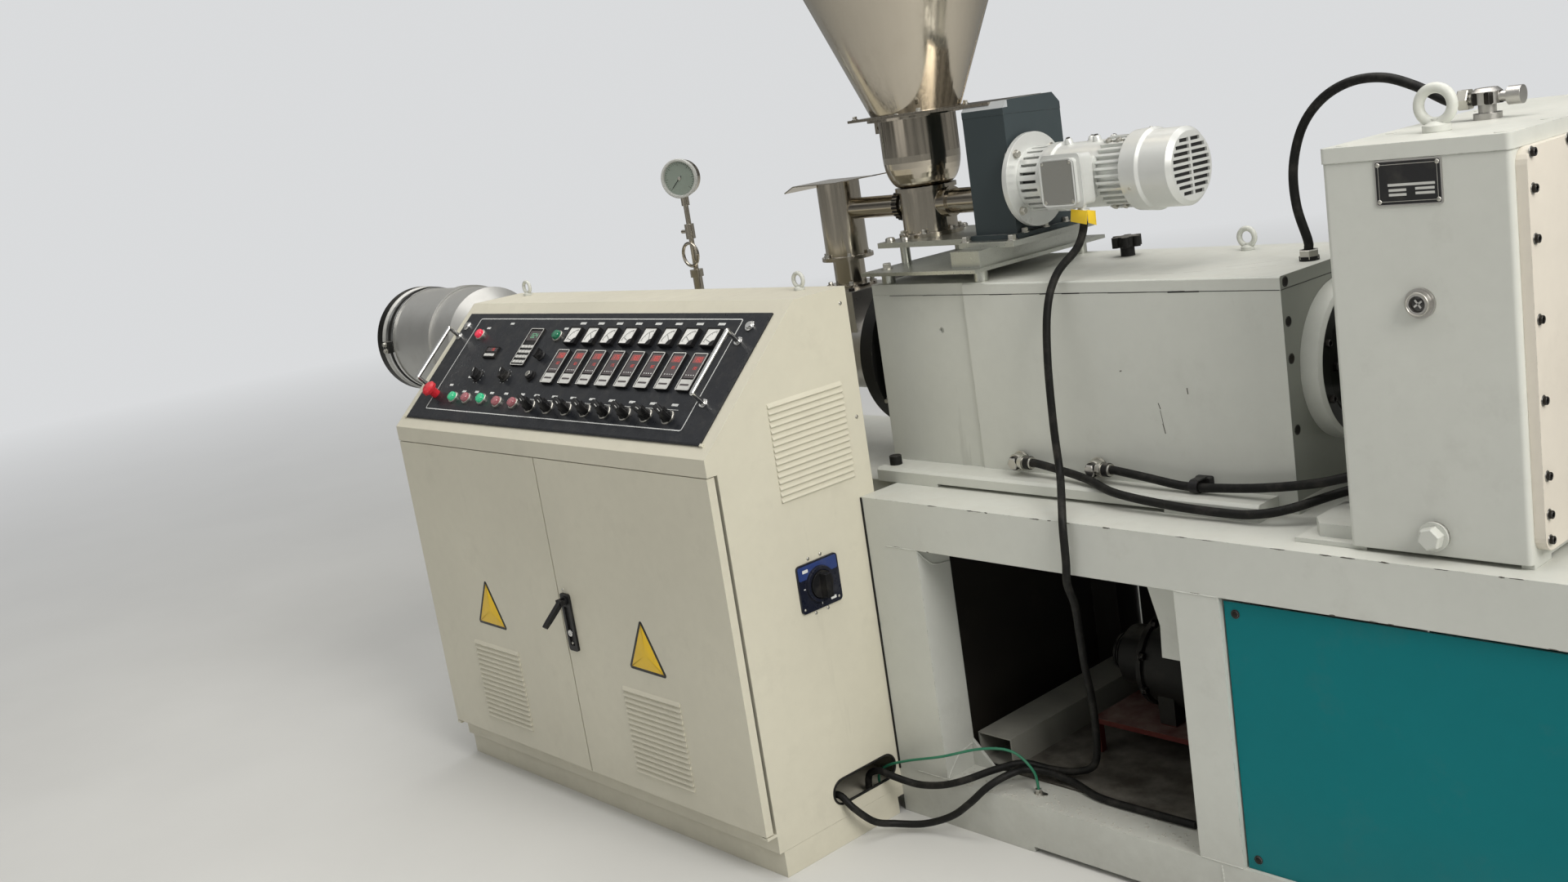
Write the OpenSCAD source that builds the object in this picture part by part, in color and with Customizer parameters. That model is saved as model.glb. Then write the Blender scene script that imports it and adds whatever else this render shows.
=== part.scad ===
// Plastic extruder: conical twin-screw line head with gearboxes, feeder and control cabinet.
// X runs from the die (low) to the main motor (high), Y from the front to the back, Z up.
// Lengths are millimetres. The origin is the middle of the base, on the floor.

/* [Frame] */
// Frame height above the floor
frame_h = 745; // [500:5:1000]
// Frame depth, front to back
frame_d = 750; // [500:5:1100]
// Width of one open bay
bay_w = 644; // [400:2:900]
// Width of the post between two bays
post_w = 94; // [60:2:160]
// Width of the frame's left end post
end_w = 150; // [80:5:260]
// Height of the bottom beam
sill_h = 110; // [60:5:200]
// Height of the top beam
beam_h = 106; // [60:2:200]
// Depth of the frame's beams, front to back
beam_d = 97; // [60:1:160]
// Depth of the recess that a bay panel sits in
panel_in = 10; // [4:1:20]
// Length of a foot plate under the frame
foot_l = 378; // [150:2:500]
// Height that the foot plates lift the beams
foot_lift = 12; // [4:1:30]

/* [Gearboxes] */
// Height of the machine's centreline above the frame
centre_z = 250; // [200:5:320]
// Length of the distribution box
dist_l = 1027; // [700:5:1300]
// Depth of the distribution box
dist_d = 382; // [280:2:500]
// Height of the distribution box above the frame
dist_h = 434; // [320:2:560]
// How far the distribution box runs past the frame's left end
dist_over = 77; // [0:1:120]
// Thickness of the distribution box's base flange
foot_t = 32; // [16:1:50]
// How far the base flange stands out in front of the box
foot_out = 68; // [30:1:90]
// Clear length between the two gearboxes
gap_l = 179; // [100:1:260]
// Length of the reducer along the machine
red_l = 294; // [220:2:420]
// Height of the reducer above the frame
red_h = 659; // [480:1:800]
// Depth of the reducer
red_d = 676; // [480:2:720]

/* [Motor] */
// Radius of the main motor's body
motor_r = 205; // [140:1:240]
// Length of the main motor's body
motor_l = 560; // [400:5:720]
// Clear length between reducer and motor
coup_l = 170; // [100:5:260]

/* [Barrel] */
// Radius of the heater bands on the barrel
barrel_r = 120; // [90:1:150]
// Length of the barrel
barrel_l = 1500; // [1100:10:1700]
// Radius of the barrel's rear flange
rear_r = 182; // [150:1:190]
// Length of the adapter between barrel and die head
adapter_l = 420; // [200:10:600]
// Radius of the die head
die_r = 172; // [120:1:220]
// Length of the die head
die_l = 560; // [240:5:700]

/* [Feeder] */
// Distance from the distribution box to the feed port's axis
port_off = 250; // [200:5:340]
// Distance from the feed port's axis to the hopper's axis
bowl_off = 287; // [240:1:380]
// Height of the feeder motor's axis above the gearbox lid
feed_z = 192; // [150:1:240]
// Radius of the hopper at its rim
hopper_r = 380; // [260:5:480]
// Height of the hopper's straight ring
hopper_ring = 160; // [60:5:300]
// Widening of the hopper's cone for each millimetre of height
hopper_slope = 0.41; // [0.3:0.01:0.7]
// Wall of hopper, bowl and tubes
tin = 3; // [2:0.5:5]

/* [Cabinet] */
// Cabinet width
cab_w = 1300; // [1000:10:1600]
// Cabinet depth
cab_d = 448; // [360:2:560]
// Cabinet height
cab_h = 1204; // [1000:5:1400]
// Height of the top of the desk's front lip
lip_z = 936; // [800:2:1050]
// Height of the lip
lip_h = 38; // [20:1:60]
// Depth from the front to the desk's upper edge
ridge_d = 297; // [220:1:360]
// Height of the lower edge of the doors
door_z = 109; // [80:1:160]
// Thickness of the doors
door_t = 20; // [14:1:26]
// Gap between the doors and the body behind
door_gap = 7; // [6:0.5:12]
// Sheet thickness of the cabinet
sheet = 2.5; // [1.5:0.5:4]
// Gap between cabinet and frame end
cab_gap = 0; // [0:1:40]
// How far the cabinet reaches behind the frame's front face
cab_back = 44; // [10:1:100]
// Width of a louvre field
louvre_w = 214; // [120:2:300]
// Distance from one louvre to the next
louvre_pitch = 13.5; // [10:0.5:20]

/* [Hidden] */
$fn = 48;
eps = 0.01;
// Gap between curved faces that seat on each other.
seat = 0.3;
cy = frame_d / 2;

// Places along the machine, counted from the first bay's left edge.
frame_x0 = -end_w;
bay2_x = bay_w + post_w;
bay3_x = bay2_x + bay_w + post_w;
frame_x1 = bay3_x + bay_w + post_w;
dist_x0 = frame_x0 - dist_over;
dist_x1 = dist_x0 + dist_l;
red_x0 = dist_x1 + gap_l;
red_x1 = red_x0 + red_l;
red_y0 = cy - red_d / 2;
red_z1 = frame_h + red_h;
lid_t = 24;
cover_t = 17;
motor_x0 = red_x1 + coup_l;
motor_x1 = motor_x0 + motor_l;
cowl_l = 150;
dist_y0 = cy - dist_d / 2;
dist_z1 = frame_h + dist_h;
box_x0 = dist_x0 + 8;
axis_z = frame_h + centre_z;

// Barrel and die places.
barrel_x1 = dist_x0;
barrel_x0 = barrel_x1 - barrel_l;
die_x1 = barrel_x0 - adapter_l;
die_x0 = die_x1 - die_l;
port_x = dist_x0 - port_off;
bare_r = barrel_r - 20;
port_z = axis_z + barrel_r + 30;
port_r = 35;
rear_t = 65;
vent_x = port_x - 602;
vent_z = axis_z + bare_r + 30;
band_gap = 40;
ext_x0 = barrel_x0 + 60;
ext_d = 500;

// Cabinet places.
cab_x1 = frame_x0 - cab_gap;
cab_x0 = cab_x1 - cab_w;
cab_y1 = cab_back;
cab_y0 = cab_y1 - cab_d;
body_y = door_t + door_gap;
door_h = lip_z - lip_h - 2 - door_z;
plinth_h = 60;
plinth_in = 39;
slope_a = atan((cab_h - lip_z) / ridge_d);
pan_u = 30;
pan_u1 = cab_w - 35;
pan_s0 = 34;
pan_s1 = 363;
pan_t = 4;
hinge_in = 7;
pin_r = 3;
pin_l = 14;
knuckle_r = 2.2;
knuckle_s = pan_s0 - knuckle_r;
knuckle_n = knuckle_r + seat;

// Door lock places.
lock_u = cab_w / 2 + 32;
lock_z = 498;
lock_t = 6;
hub_z = lock_z + 54;
lever_l = 70;
lever_lift = 49;
pin_y = cab_y0 - lock_t - 12;
lever_out = cab_y0 - pin_y + lever_l * sin(lever_lift) + 5 * cos(lever_lift);

// Louvres on the doors and the right side, and the openings in that side.
louvre_out = 4.5;
door_louvres = 16;
side_louvres = 16;
door_louvre_z = 160;
side_louvre_v = 182;
side_louvre_z = 793;
sw_v = 248;
sw_z = 597;
cut_v0 = 199;
cut_v1 = 391;
cut_z = 121.5;
cut_r = 28.5;

// Instruments: the left group keeps its place, the rest is spread to the panel's right edge.
inst_u0 = 590;
inst_u1 = cab_w - 181;
inst_n = 8;
inst_pitch = (inst_u1 - inst_u0) / (inst_n - 1);
handle_u = [pan_u + 12, pan_u1 - 58];
handle_s0 = 130;
handle_s1 = 288;
handle_r = 6;
handle_out = 38;
stop_u = 110;
stop_s = 105;
stop_r = 12;

// Feeder places, counted from the gearbox lid.
plate_z = dist_z1 + 24;
riser_z = dist_z1 + 66;
shelf_z = dist_z1 + 71;
case_z0 = dist_z1 + 78;
case_z1 = dist_z1 + 346;
bowl_x = port_x + bowl_off;
bowl_r = 88;
rim_r = 112;
bowl_z1 = dist_z1 + 355;
bowl_z0 = dist_z1 + 195;
neck_r = 62;
auger_r = 25;
auger_z = dist_z1 + 154;
case_x0 = bowl_x + 233;
case_w = 112;
case_d = 184;
case_y0 = cy - 110;
fm_y = cy - 54;
fm_x0 = case_x0 + case_w;
fm_z = dist_z1 + feed_z;
drop_r = 52;
lower_r = 38;
drop_flange_z = dist_z1 + 44;
drop_z1 = dist_z1 + 221;
hop_z0 = bowl_z1;
hop_r0 = 100;
hop_h = (hopper_r - hop_r0) / hopper_slope;

// The whole is shifted so that the middle of its base is the origin.
low_x = min(die_x0, cab_x0);
high_x = max(motor_x1 + cowl_l, frame_x1);
ox = -(low_x + high_x) / 2;
low_y = cab_y0 - lever_out;
rim_bead = 9;
high_y = max(frame_d, cy + hopper_r + rim_bead);
oy = -(low_y + high_y) / 2;

frame_c = [0.70, 0.72, 0.69];
teal_c = [0.10, 0.39, 0.41];
cream_c = [0.86, 0.80, 0.72];
steel_c = [0.72, 0.72, 0.72];
silver_c = [0.76, 0.77, 0.78];
slate_c = [0.25, 0.32, 0.34];
dark_c = [0.10, 0.10, 0.11];
console_c = [0.27, 0.28, 0.29];
red_c = [0.75, 0.08, 0.10];

module at() { translate([ox, oy, 0]) children(); }

// A block between two corners.
module blk(x0, x1, y0, y1, z0, z1) {
  translate([x0, y0, z0]) cube([x1 - x0, y1 - y0, z1 - z0]);
}

// A round bar along X, Y or Z from a starting point.
module rod_x(x0, x1, y, z, r) {
  translate([x0, y, z]) rotate([0, 90, 0]) cylinder(r = r, h = x1 - x0);
}
module rod_y(x, y0, y1, z, r) {
  translate([x, y0, z]) rotate([-90, 0, 0]) cylinder(r = r, h = y1 - y0);
}
module rod_z(x, y, z0, z1, r) {
  translate([x, y, z0]) cylinder(r = r, h = z1 - z0);
}

// A body turned about an axis; each point is [distance along the axis, radius].
module turned(pts) rotate_extrude() polygon([for (p = pts) [p[1], p[0]]]);
module turned_x(x0, y, z, pts) translate([x0, y, z]) rotate([0, 90, 0]) turned(pts);
module turned_z(x, y, z0, pts) translate([x, y, z0]) turned(pts);

// Corner points of a rectangle with rounded corners, five steps to a corner.
function round_rect(w, h, r, n = 5) = [
  for (c = [[w - r, h - r, 0], [r, h - r, 90], [r, r, 180], [w - r, r, 270]], i = [0:n])
    [c[0] + r * cos(c[2] + 90 * i / n), c[1] + r * sin(c[2] + 90 * i / n)]
];

// A drawing in depth and height, pulled along X.
module along(x0, x1) {
  translate([x0, 0, 0]) rotate([90, 0, 90]) linear_extrude(height = x1 - x0) children();
}
// A drawing in X and height, pulled along Y.
module across(y0, y1) {
  translate([0, y1, 0]) rotate([90, 0, 0]) linear_extrude(height = y1 - y0) children();
}

// Face coordinates: the cabinet's front and right side, with Z standing out of the face.
module on_front(u, z) translate([cab_x0 + u, cab_y0, z]) rotate([90, 0, 0]) children();
module on_side(v, z) translate([cab_x1, cab_y0 + v, z]) rotate([90, 0, 90]) children();
// Desk coordinates: X along the width, Y up the slope, Z out of it.
module on_slope() translate([cab_x0, cab_y0, lip_z]) rotate([slope_a, 0, 0]) children();

// Pressed louvres: hoods that open downward, one above the other.
module louvres(w, n) for (i = [0:n - 1])
  translate([0, i * louvre_pitch, 0]) rotate([90, 0, 90]) linear_extrude(height = w)
    polygon([
      [0.15 * louvre_pitch, -eps], [0.9 * louvre_pitch, -eps], [0.6 * louvre_pitch, 0.55 * louvre_out],
      [0.25 * louvre_pitch, louvre_out], [0.15 * louvre_pitch, louvre_out]
    ]);

// One side of the frame: posts, sill and top beam, with the bays left open.
module frame_side(y0) difference() {
  blk(frame_x0, frame_x1, y0, y0 + beam_d, 0, frame_h);
  for (x = [0, bay2_x, bay3_x])
    blk(x, x + bay_w, y0 - 1, y0 + beam_d + 1, sill_h, frame_h - beam_h);
  for (x = [[frame_x0 + foot_l, bay3_x - post_w - foot_l / 2], [bay3_x + foot_l / 2, frame_x1 - foot_l]])
    blk(x[0], x[1], y0 - 1, y0 + beam_d + 1, -1, foot_lift);
}

gusset_w = 134;
gusset_h = 180;
gusset_low = 62;
gusset_t = 8;

// Stiffening plates in the corners of the open bay, flush with the beams' inner faces.
module bay_gussets(y) across(y, y + gusset_t) {
  top = frame_h - beam_h;
  polygon([
    [bay_w - gusset_w, top + eps], [bay_w + eps, top + eps], [bay_w + eps, top - gusset_h],
    [bay_w - gusset_w + 28, top - gusset_h], [bay_w - gusset_w + 31, top - gusset_h + 66]
  ]);
  for (m = [0, 1]) translate([m * bay_w, 0]) mirror([m, 0])
    polygon([[-eps, sill_h - eps], [gusset_low, sill_h - eps], [-eps, sill_h + gusset_low]]);
}

plate_t = 20;

module base_frame() color(frame_c) at() {
  frame_side(0);
  frame_side(frame_d - beam_d);
  blk(frame_x0, frame_x1, beam_d - eps, frame_d - beam_d + eps, frame_h - plate_t, frame_h);
  for (x = [frame_x0, frame_x1 - end_w / 2])
    blk(x, x + end_w / 2, beam_d - eps, frame_d - beam_d + eps, foot_lift, frame_h);
  for (x = [bay_w, bay2_x + bay_w])
    blk(x, x + post_w, beam_d - eps, frame_d - beam_d + eps, frame_h - beam_h, frame_h);
  bay_gussets(beam_d - gusset_t);
  bay_gussets(frame_d - beam_d);
  frame_extension();
}

// Narrow part that carries the barrel, behind the cabinet.
module frame_extension() difference() {
  blk(ext_x0, frame_x0 + eps, cy - ext_d / 2, cy + ext_d / 2, 0, frame_h);
  blk(ext_x0 + post_w, frame_x0 - post_w, cy - ext_d / 2 - 1, cy + ext_d / 2 + 1, sill_h, frame_h - beam_h);
  blk(ext_x0 + post_w, frame_x0 - post_w, cy - ext_d / 2 + post_w, cy + ext_d / 2 - post_w, -1, sill_h + 1);
  blk(ext_x0 + post_w, frame_x0 - post_w, cy - ext_d / 2 - 1, cy + ext_d / 2 + 1, -1, foot_lift);
}

panel_t = 3;
panel_gap = 4;

module bay_panels() color(teal_c) at()
  for (x = [bay2_x, bay3_x], y = [panel_in, frame_d - panel_in - panel_t])
    translate([x + panel_gap, 0, 0]) across(y, y + panel_t) difference() {
      translate([0, sill_h])
        square([bay_w - 2 * panel_gap, frame_h - beam_h - sill_h - 2 * panel_gap]);
      for (u = [22, bay_w - 2 * panel_gap - 22], z = [sill_h + 22, frame_h - beam_h - 2 * panel_gap - 22])
        translate([u, z]) circle(r = 4);
    }

// Plate that closes the open bay at the back.
module bay_back() color(dark_c) at() {
  y = frame_d - panel_in - panel_t;
  translate([panel_gap, 0, 0]) across(y, y + panel_t)
    translate([0, sill_h]) square([bay_w - 2 * panel_gap, frame_h - beam_h - sill_h - 2 * panel_gap]);
}

tray_rim = 26;
duct_w = 95;
duct_h = 70;

// Drip tray across the bay, with the cable duct that lies on its left edge.
module bay_tray() color(frame_c) at() {
  y0 = beam_d;
  y1 = frame_d - beam_d;
  z = sill_h;
  blk(duct_w, bay_w - 40, y0, y1, z, z + 4);
  blk(bay_w - 43, bay_w - 40, y0, y1, z + 4 - eps, z + tray_rim);
  difference() {
    blk(0, duct_w, y0 + 16, y1, z, z + duct_h);
    blk(3, duct_w - 3, y0 + 13, y1 + 1, z + 3, z + duct_h - 3);
  }
}

pump_x = 400;
pump_y = 300;
pump_z = 310;
pump_r = 95;

// Oil pump set of the gearboxes: motor, bell housing and pump on a stool above the tray.
module oil_pump() color(dark_c) at() {
  z = sill_h + 4;
  turned_x(pump_x - 190, pump_y + 90, pump_z, [
    [0, 0], [0, 40], [34, 40], [34, 66], [90, 66], [104, pump_r + 6], [116, pump_r + 6], [116, pump_r - 4],
    [122, pump_r], [330, pump_r], [338, pump_r - 12], [338, 0]
  ]);
  for (x = [pump_x - 30, pump_x + 90])
    blk(x - 20, x + 20, pump_y + 10, pump_y + 170, z + 78, pump_z - 40);
  blk(pump_x - 200, pump_x + 160, pump_y - 30, pump_y + 210, z + 68, z + 80);
  for (x = [pump_x - 192, pump_x + 152], y = [pump_y - 22, pump_y + 202])
    blk(x - 8, x + 8, y - 8, y + 8, z, z + 69);
}

hose_x = [dist_x0 + 397, dist_x0 + 596];
hose_z = frame_h + 59;
step_x = 56;
step_in = 6;
slot_x0 = -26;
slot_x1 = 558;

// Gear housing, thrust bearing housing on its left and the base flange with a gap under it.
module distribution_box() color(frame_c) at() difference() {
  union() {
    blk(step_x - eps, dist_x1, dist_y0, dist_y0 + dist_d, frame_h, dist_z1 - lid_t);
    blk(box_x0, step_x, dist_y0 + step_in, dist_y0 + dist_d - step_in, frame_h, dist_z1 - lid_t);
    along(dist_x0 + 20, dist_x1 - 40) polygon([
      [dist_y0 - foot_out, frame_h], [dist_y0 + dist_d + foot_out, frame_h],
      [dist_y0 + dist_d + foot_out, frame_h + foot_t - 6], [dist_y0 + dist_d + foot_out - 6, frame_h + foot_t],
      [dist_y0 - foot_out + 6, frame_h + foot_t], [dist_y0 - foot_out, frame_h + foot_t - 6]
    ]);
  }
  for (y = [dist_y0 - foot_out - 1, dist_y0 + dist_d + foot_out - 30])
    blk(slot_x0, slot_x1, y, y + 31, frame_h - 1, frame_h + 7);
  rod_y(dist_x0 + 204, dist_y0 - 1, dist_y0 + 12, frame_h + 332, 6);
}

module box_lid() color(frame_c) at() difference() {
  along(box_x0, dist_x1) polygon([
    [dist_y0, dist_z1 - lid_t], [dist_y0 + dist_d, dist_z1 - lid_t], [dist_y0 + dist_d, dist_z1 - 3],
    [dist_y0 + dist_d - 3, dist_z1], [dist_y0 + 3, dist_z1], [dist_y0, dist_z1 - 3]
  ]);
  for (s = [-1, 1]) blk(box_x0 - 1, step_x, cy + s * dist_d / 2 - step_in, cy + s * dist_d / 2 + step_in,
    dist_z1 - lid_t - 1, dist_z1 + 1);
}

breather_x = dist_x0 + 494;
breather_y = cy + 105;

// Breather with a lobed knob, cap screw of the flange, hose unions and the hose's top fitting.
module box_fittings() color(dark_c) at() {
  rod_z(breather_x, breather_y, dist_z1, dist_z1 + 22, 15);
  translate([breather_x, breather_y, dist_z1 + 20]) linear_extrude(height = 22) {
    circle(r = 22);
    for (a = [0:60:300]) rotate(a) translate([25, 0]) circle(r = 8);
  }
  rod_z(dist_x0 + 49, dist_y0 - foot_out / 2, frame_h + foot_t, frame_h + foot_t + 20, 14);
  for (x = hose_x) {
    rod_y(x, dist_y0 - 34, dist_y0, hose_z, 15);
    turned_x(x, dist_y0 - 30, hose_z + 3, [[0, 0], [0, 11], [30, 11], [30, 14], [43, 14], [43, 0]]);
  }
  turned_z(arch_end.x, arch_end.y, dist_z1, [[0, 0], [0, 18], [8, 18], [8, 12], [20, 12], [20, 0]]);
}

coupling_r = 108;
ring_r = 150;

// Bearing ring on the distribution box, dark bolted hub in it and the shaft to the reducer.
module shaft_coupling() color(frame_c) at() {
  turned_x(dist_x1, cy, axis_z, [[0, 0], [0, ring_r], [34, ring_r], [40, ring_r - 6], [40, coupling_r + 12],
    [14, coupling_r + 12], [14, coupling_r], [32, coupling_r], [32, 62], [gap_l - 44, 62], [gap_l - 44, coupling_r],
    [gap_l - 22, coupling_r], [gap_l - 22, ring_r - 14], [gap_l, ring_r - 14], [gap_l, 0]]);
}

toe_l = 93;
toe_t = 31;
toe_in = 28;
shim_t = 8;

// Upright gear case with rounded corners, its toe plate and the shim that both stand on.
module reducer_housing() color(frame_c) at() difference() {
  union() {
    translate([red_x0, red_y0, frame_h + shim_t])
      linear_extrude(height = red_h - lid_t - shim_t) polygon(round_rect(red_l, red_d, 8));
    translate([red_x0 - toe_l, red_y0 + toe_in, frame_h]) linear_extrude(height = toe_t) polygon([
      [0, 30], [22, 0], [toe_l + 20, 0], [toe_l + 20, red_d - 2 * toe_in], [22, red_d - 2 * toe_in],
      [0, red_d - 2 * toe_in - 30]
    ]);
    blk(red_x0 - toe_l - 14, red_x0 + 24, red_y0 + toe_in - 20, red_y0 + red_d - toe_in + 20, frame_h,
      frame_h + shim_t);
    for (y = [red_y0 + 8, red_y0 + red_d - 68])
      blk(red_x1 - 20, red_x1, y, y + 60, frame_h, frame_h + shim_t + eps);
  }
}

module reducer_lid() color(frame_c) at() translate([red_x0 - 2, red_y0 - 2, red_z1 - lid_t])
  linear_extrude(height = lid_t) polygon(round_rect(red_l + 4, red_d + 4, 9));

module reducer_side_cover() color(cream_c) at()
  translate([red_x1, red_y0 + 12, frame_h + 26]) rotate([90, 0, 90])
    linear_extrude(height = cover_t) polygon(round_rect(red_d - 24, red_h - 50, 24));

top_x = red_x0 + 131;
top_y = cy - 45;
name_w = 106;
name_h = 70;

// Sight glass, plug and bare name plate on the front, hose filter on top.
module reducer_fittings() color(steel_c) at() {
  x = red_x0 + red_l / 2;
  translate([x, red_y0, frame_h + 414]) rotate([90, 0, 0]) turned([[0, 0], [0, 24], [5, 24], [5, 20], [14, 18],
    [14, 13], [8, 12], [8, 0]]);
  translate([x, red_y0, frame_h + 42]) rotate([90, 0, 0]) turned([[0, 0], [0, 23], [4, 23], [4, 17], [16, 17],
    [20, 14], [20, 0]]);
  translate([x - 60, red_y0, red_z1 - 95]) rotate([90, 0, 0]) linear_extrude(height = 2)
    polygon(round_rect(name_w, name_h, 4));
  turned_z(top_x, top_y, red_z1, [[0, 0], [0, 22], [10, 22], [10, 14], [24, 14], [24, 24], [44, 24], [50, 17],
    [50, 0]]);
  turned_x(top_x + 14, top_y, red_z1 + 34, [[0, 0], [0, 9], [22, 9], [22, 15], [44, 15], [44, 0]]);
  turned_x(top_x - 46, top_y, red_z1 + 34, [[0, 0], [0, 13], [16, 13], [16, 9], [32, 9], [32, 0]]);
  for (p = [[235, frame_h + 61], [172, frame_h + 91]])
    turned_x(red_x0 - 24, p[0], p[1], [[0, 0], [0, 13], [8, 13], [8, 16], [24, 16], [24, 0]]);
}

// Lifting eye with collar, standing on a face at z.
module eye(x, y, z, r, t, turn = 0) translate([x, y, z]) rotate([0, 0, turn]) {
  turned([[0, 0], [0, r * 0.8], [t * 1.2, r * 0.8], [t * 2, t], [t * 2.4, t], [t * 2.4, 0]]);
  translate([0, 0, t + r + t * 0.6]) rotate([90, 0, 0]) rotate_extrude() translate([r, 0]) circle(r = t);
}

module lifting_eyes() color(frame_c) at() {
  eye(red_x0 + 121, cy - 200, red_z1, 27, 8.5);
  eye(dist_x1 - 258, cy + 125, dist_z1, 17, 5.5);
  for (u = [100, cab_w - 100]) eye(cab_x0 + u, cab_y1 - 40, cab_h, 15, 4.5);
}

coup_in = red_x1 + cover_t;

// Shaft coupling to the motor, with its two flanges and the cushion ring.
module motor_coupling() color(dark_c) at()
  turned_x(coup_in, cy, axis_z, [[0, 0], [0, 52], [coup_l / 2 - 34, 52], [coup_l / 2 - 34, 86],
    [coup_l / 2 - 12, 86], [coup_l / 2 - 12, 78], [coup_l / 2 - 2, 78], [coup_l / 2 - 2, 86],
    [coup_l / 2 + 20, 86], [coup_l / 2 + 20, 52], [motor_x0 - coup_in, 52], [motor_x0 - coup_in, 0]]);

// Outline of a finned motor body: n fins of a given height and share of the pitch.
function fins(r, h, n, share = 0.35) = [
  for (i = [0:n - 1], k = [[-share / 2, h], [share / 2, h], [share / 2, 0], [1 - share / 2, 0]])
    let (a = 360 * (i + k[0]) / n) (r + k[1]) * [cos(a), sin(a)]
];

shield_l = 50;

module main_motor() color(slate_c) at() {
  turned_x(motor_x0, cy, axis_z, [[0, 0], [0, 90], [12, 90], [20, motor_r - 8], [shield_l, motor_r],
    [shield_l, 0]]);
  translate([motor_x0 + shield_l - 2, cy, axis_z]) rotate([0, 90, 0]) linear_extrude(height = motor_l - shield_l + 2)
    polygon(fins(motor_r - 24, 20, 40));
  for (s = [-1, 1]) {
    along(motor_x0 + 70, motor_x1 - 70) polygon([for (p = [[40, motor_r * 0.62], [105, 22], [105, 0], [185, 0],
      [185, 22], [150, motor_r * 0.75]]) [cy + s * p[0], frame_h + p[1]]]);
  }
  blk(motor_x0 + 160, motor_x0 + 340, cy - 80, cy + 80, axis_z + motor_r - 30, axis_z + motor_r + 6);
}

// Fan cowl with radial slots in its end.
module motor_cowl() color(slate_c) at() difference() {
  turned_x(motor_x1, cy, axis_z, [[0, 0], [0, motor_r + 5], [cowl_l - 24, motor_r + 5],
    [cowl_l, motor_r - 20], [cowl_l, 0]]);
  for (a = [0:20:340]) translate([motor_x1 + cowl_l, cy, axis_z]) rotate([a, 0, 0])
    blk(-6, 1, -4, 4, 50, motor_r - 40);
}

module motor_terminal_box() color(slate_c) at() {
  z = axis_z + motor_r + 6;
  x = motor_x0 + 150;
  translate([x, cy - 90, z]) linear_extrude(height = 90) polygon(round_rect(200, 180, 14));
  translate([x - 4, cy - 94, z + 90]) linear_extrude(height = 14) polygon(round_rect(208, 188, 16));
}

// Barrel with the screws' port and vent blocks on top; the port is bored down to the screws.
module barrel() color(steel_c) at() difference() {
  union() {
    turned_x(barrel_x0, cy, axis_z, [[0, 0], [0, bare_r + 45], [36, bare_r + 45], [36, bare_r],
      [barrel_l - rear_t, bare_r], [barrel_l - rear_t, 0]]);
    blk(port_x - 85, port_x + 85, cy - 85, cy + 85, axis_z, port_z);
    blk(vent_x - 50, vent_x + 50, cy - 60, cy + 60, axis_z, vent_z);
  }
  rod_z(port_x, cy, axis_z - 30, port_z + 1, port_r);
}

// Stretches of the barrel before and behind the vent, with two heater bands each.
zones = [[barrel_x0 + 50, vent_x - 60], [vent_x + 60, port_x - 100]];
function band_l(zone) = (zone[1] - zone[0] - band_gap) / 2;

module barrel_heaters() color(silver_c) at() for (zone = zones, i = [0, 1]) {
  l = band_l(zone);
  x = zone[0] + i * (l + band_gap);
  turned_x(x, cy, axis_z, [[0, bare_r + seat], [0, barrel_r + 4], [8, barrel_r + 4], [8, barrel_r],
    [l - 8, barrel_r], [l - 8, barrel_r + 4], [l, barrel_r + 4], [l, bare_r + seat]]);
  blk(x + l / 2 - 32, x + l / 2 + 32, cy - 28, cy + 28, axis_z - barrel_r - 34, axis_z - barrel_r + 4);
}

// Stepped black flange that bolts the barrel to the thrust bearing housing.
module barrel_flange() color(dark_c) at()
  turned_x(barrel_x1 - rear_t, cy, axis_z, [[0, 0], [0, rear_r], [38, rear_r], [38, rear_r - 34],
    [rear_t + 8, rear_r - 34], [rear_t + 8, 0]]);

stand_t = 32;
stand_x = zones[0][0] + band_l(zones[0]) + (band_gap - stand_t) / 2;

module barrel_stand() color(frame_c) at() difference() {
  union() {
    along(stand_x, stand_x + stand_t) polygon([
      [cy - 150, frame_h], [cy + 150, frame_h], [cy + 150, frame_h + 24], [cy + 105, axis_z], [cy - 105, axis_z],
      [cy - 150, frame_h + 24]
    ]);
    blk(stand_x - 26, stand_x + stand_t + 26, cy - 150, cy + 150, frame_h, frame_h + 16);
  }
  rod_x(stand_x - 1, stand_x + stand_t + 1, cy, axis_z, bare_r + seat);
}

gauge_r = 52;
gauge_z = vent_z + 324;
gauge_turn = 27;

// Gauge on a stem over the vent, turned toward the operator's place.
module vacuum_gauge() color(silver_c) at() {
  turned_z(vent_x, cy, vent_z, [[0, 0], [0, 26], [10, 26], [10, 13], [56, 13], [56, 18], [76, 18], [76, 7],
    [160, 7], [160, 13], [200, 13], [200, 7], [250, 7], [250, 11], [gauge_z - vent_z - gauge_r + 6, 11],
    [gauge_z - vent_z - gauge_r + 6, 0]]);
  rod_x(vent_x - 34, vent_x + 12, cy, vent_z + 180, 5);
  translate([vent_x, cy, gauge_z]) rotate([90, 0, gauge_turn]) turned([[-18, 0], [-18, gauge_r - 4],
    [8, gauge_r - 4], [8, gauge_r], [16, gauge_r], [16, gauge_r - 6], [12, gauge_r - 6], [12, 0]]);
}

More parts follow.
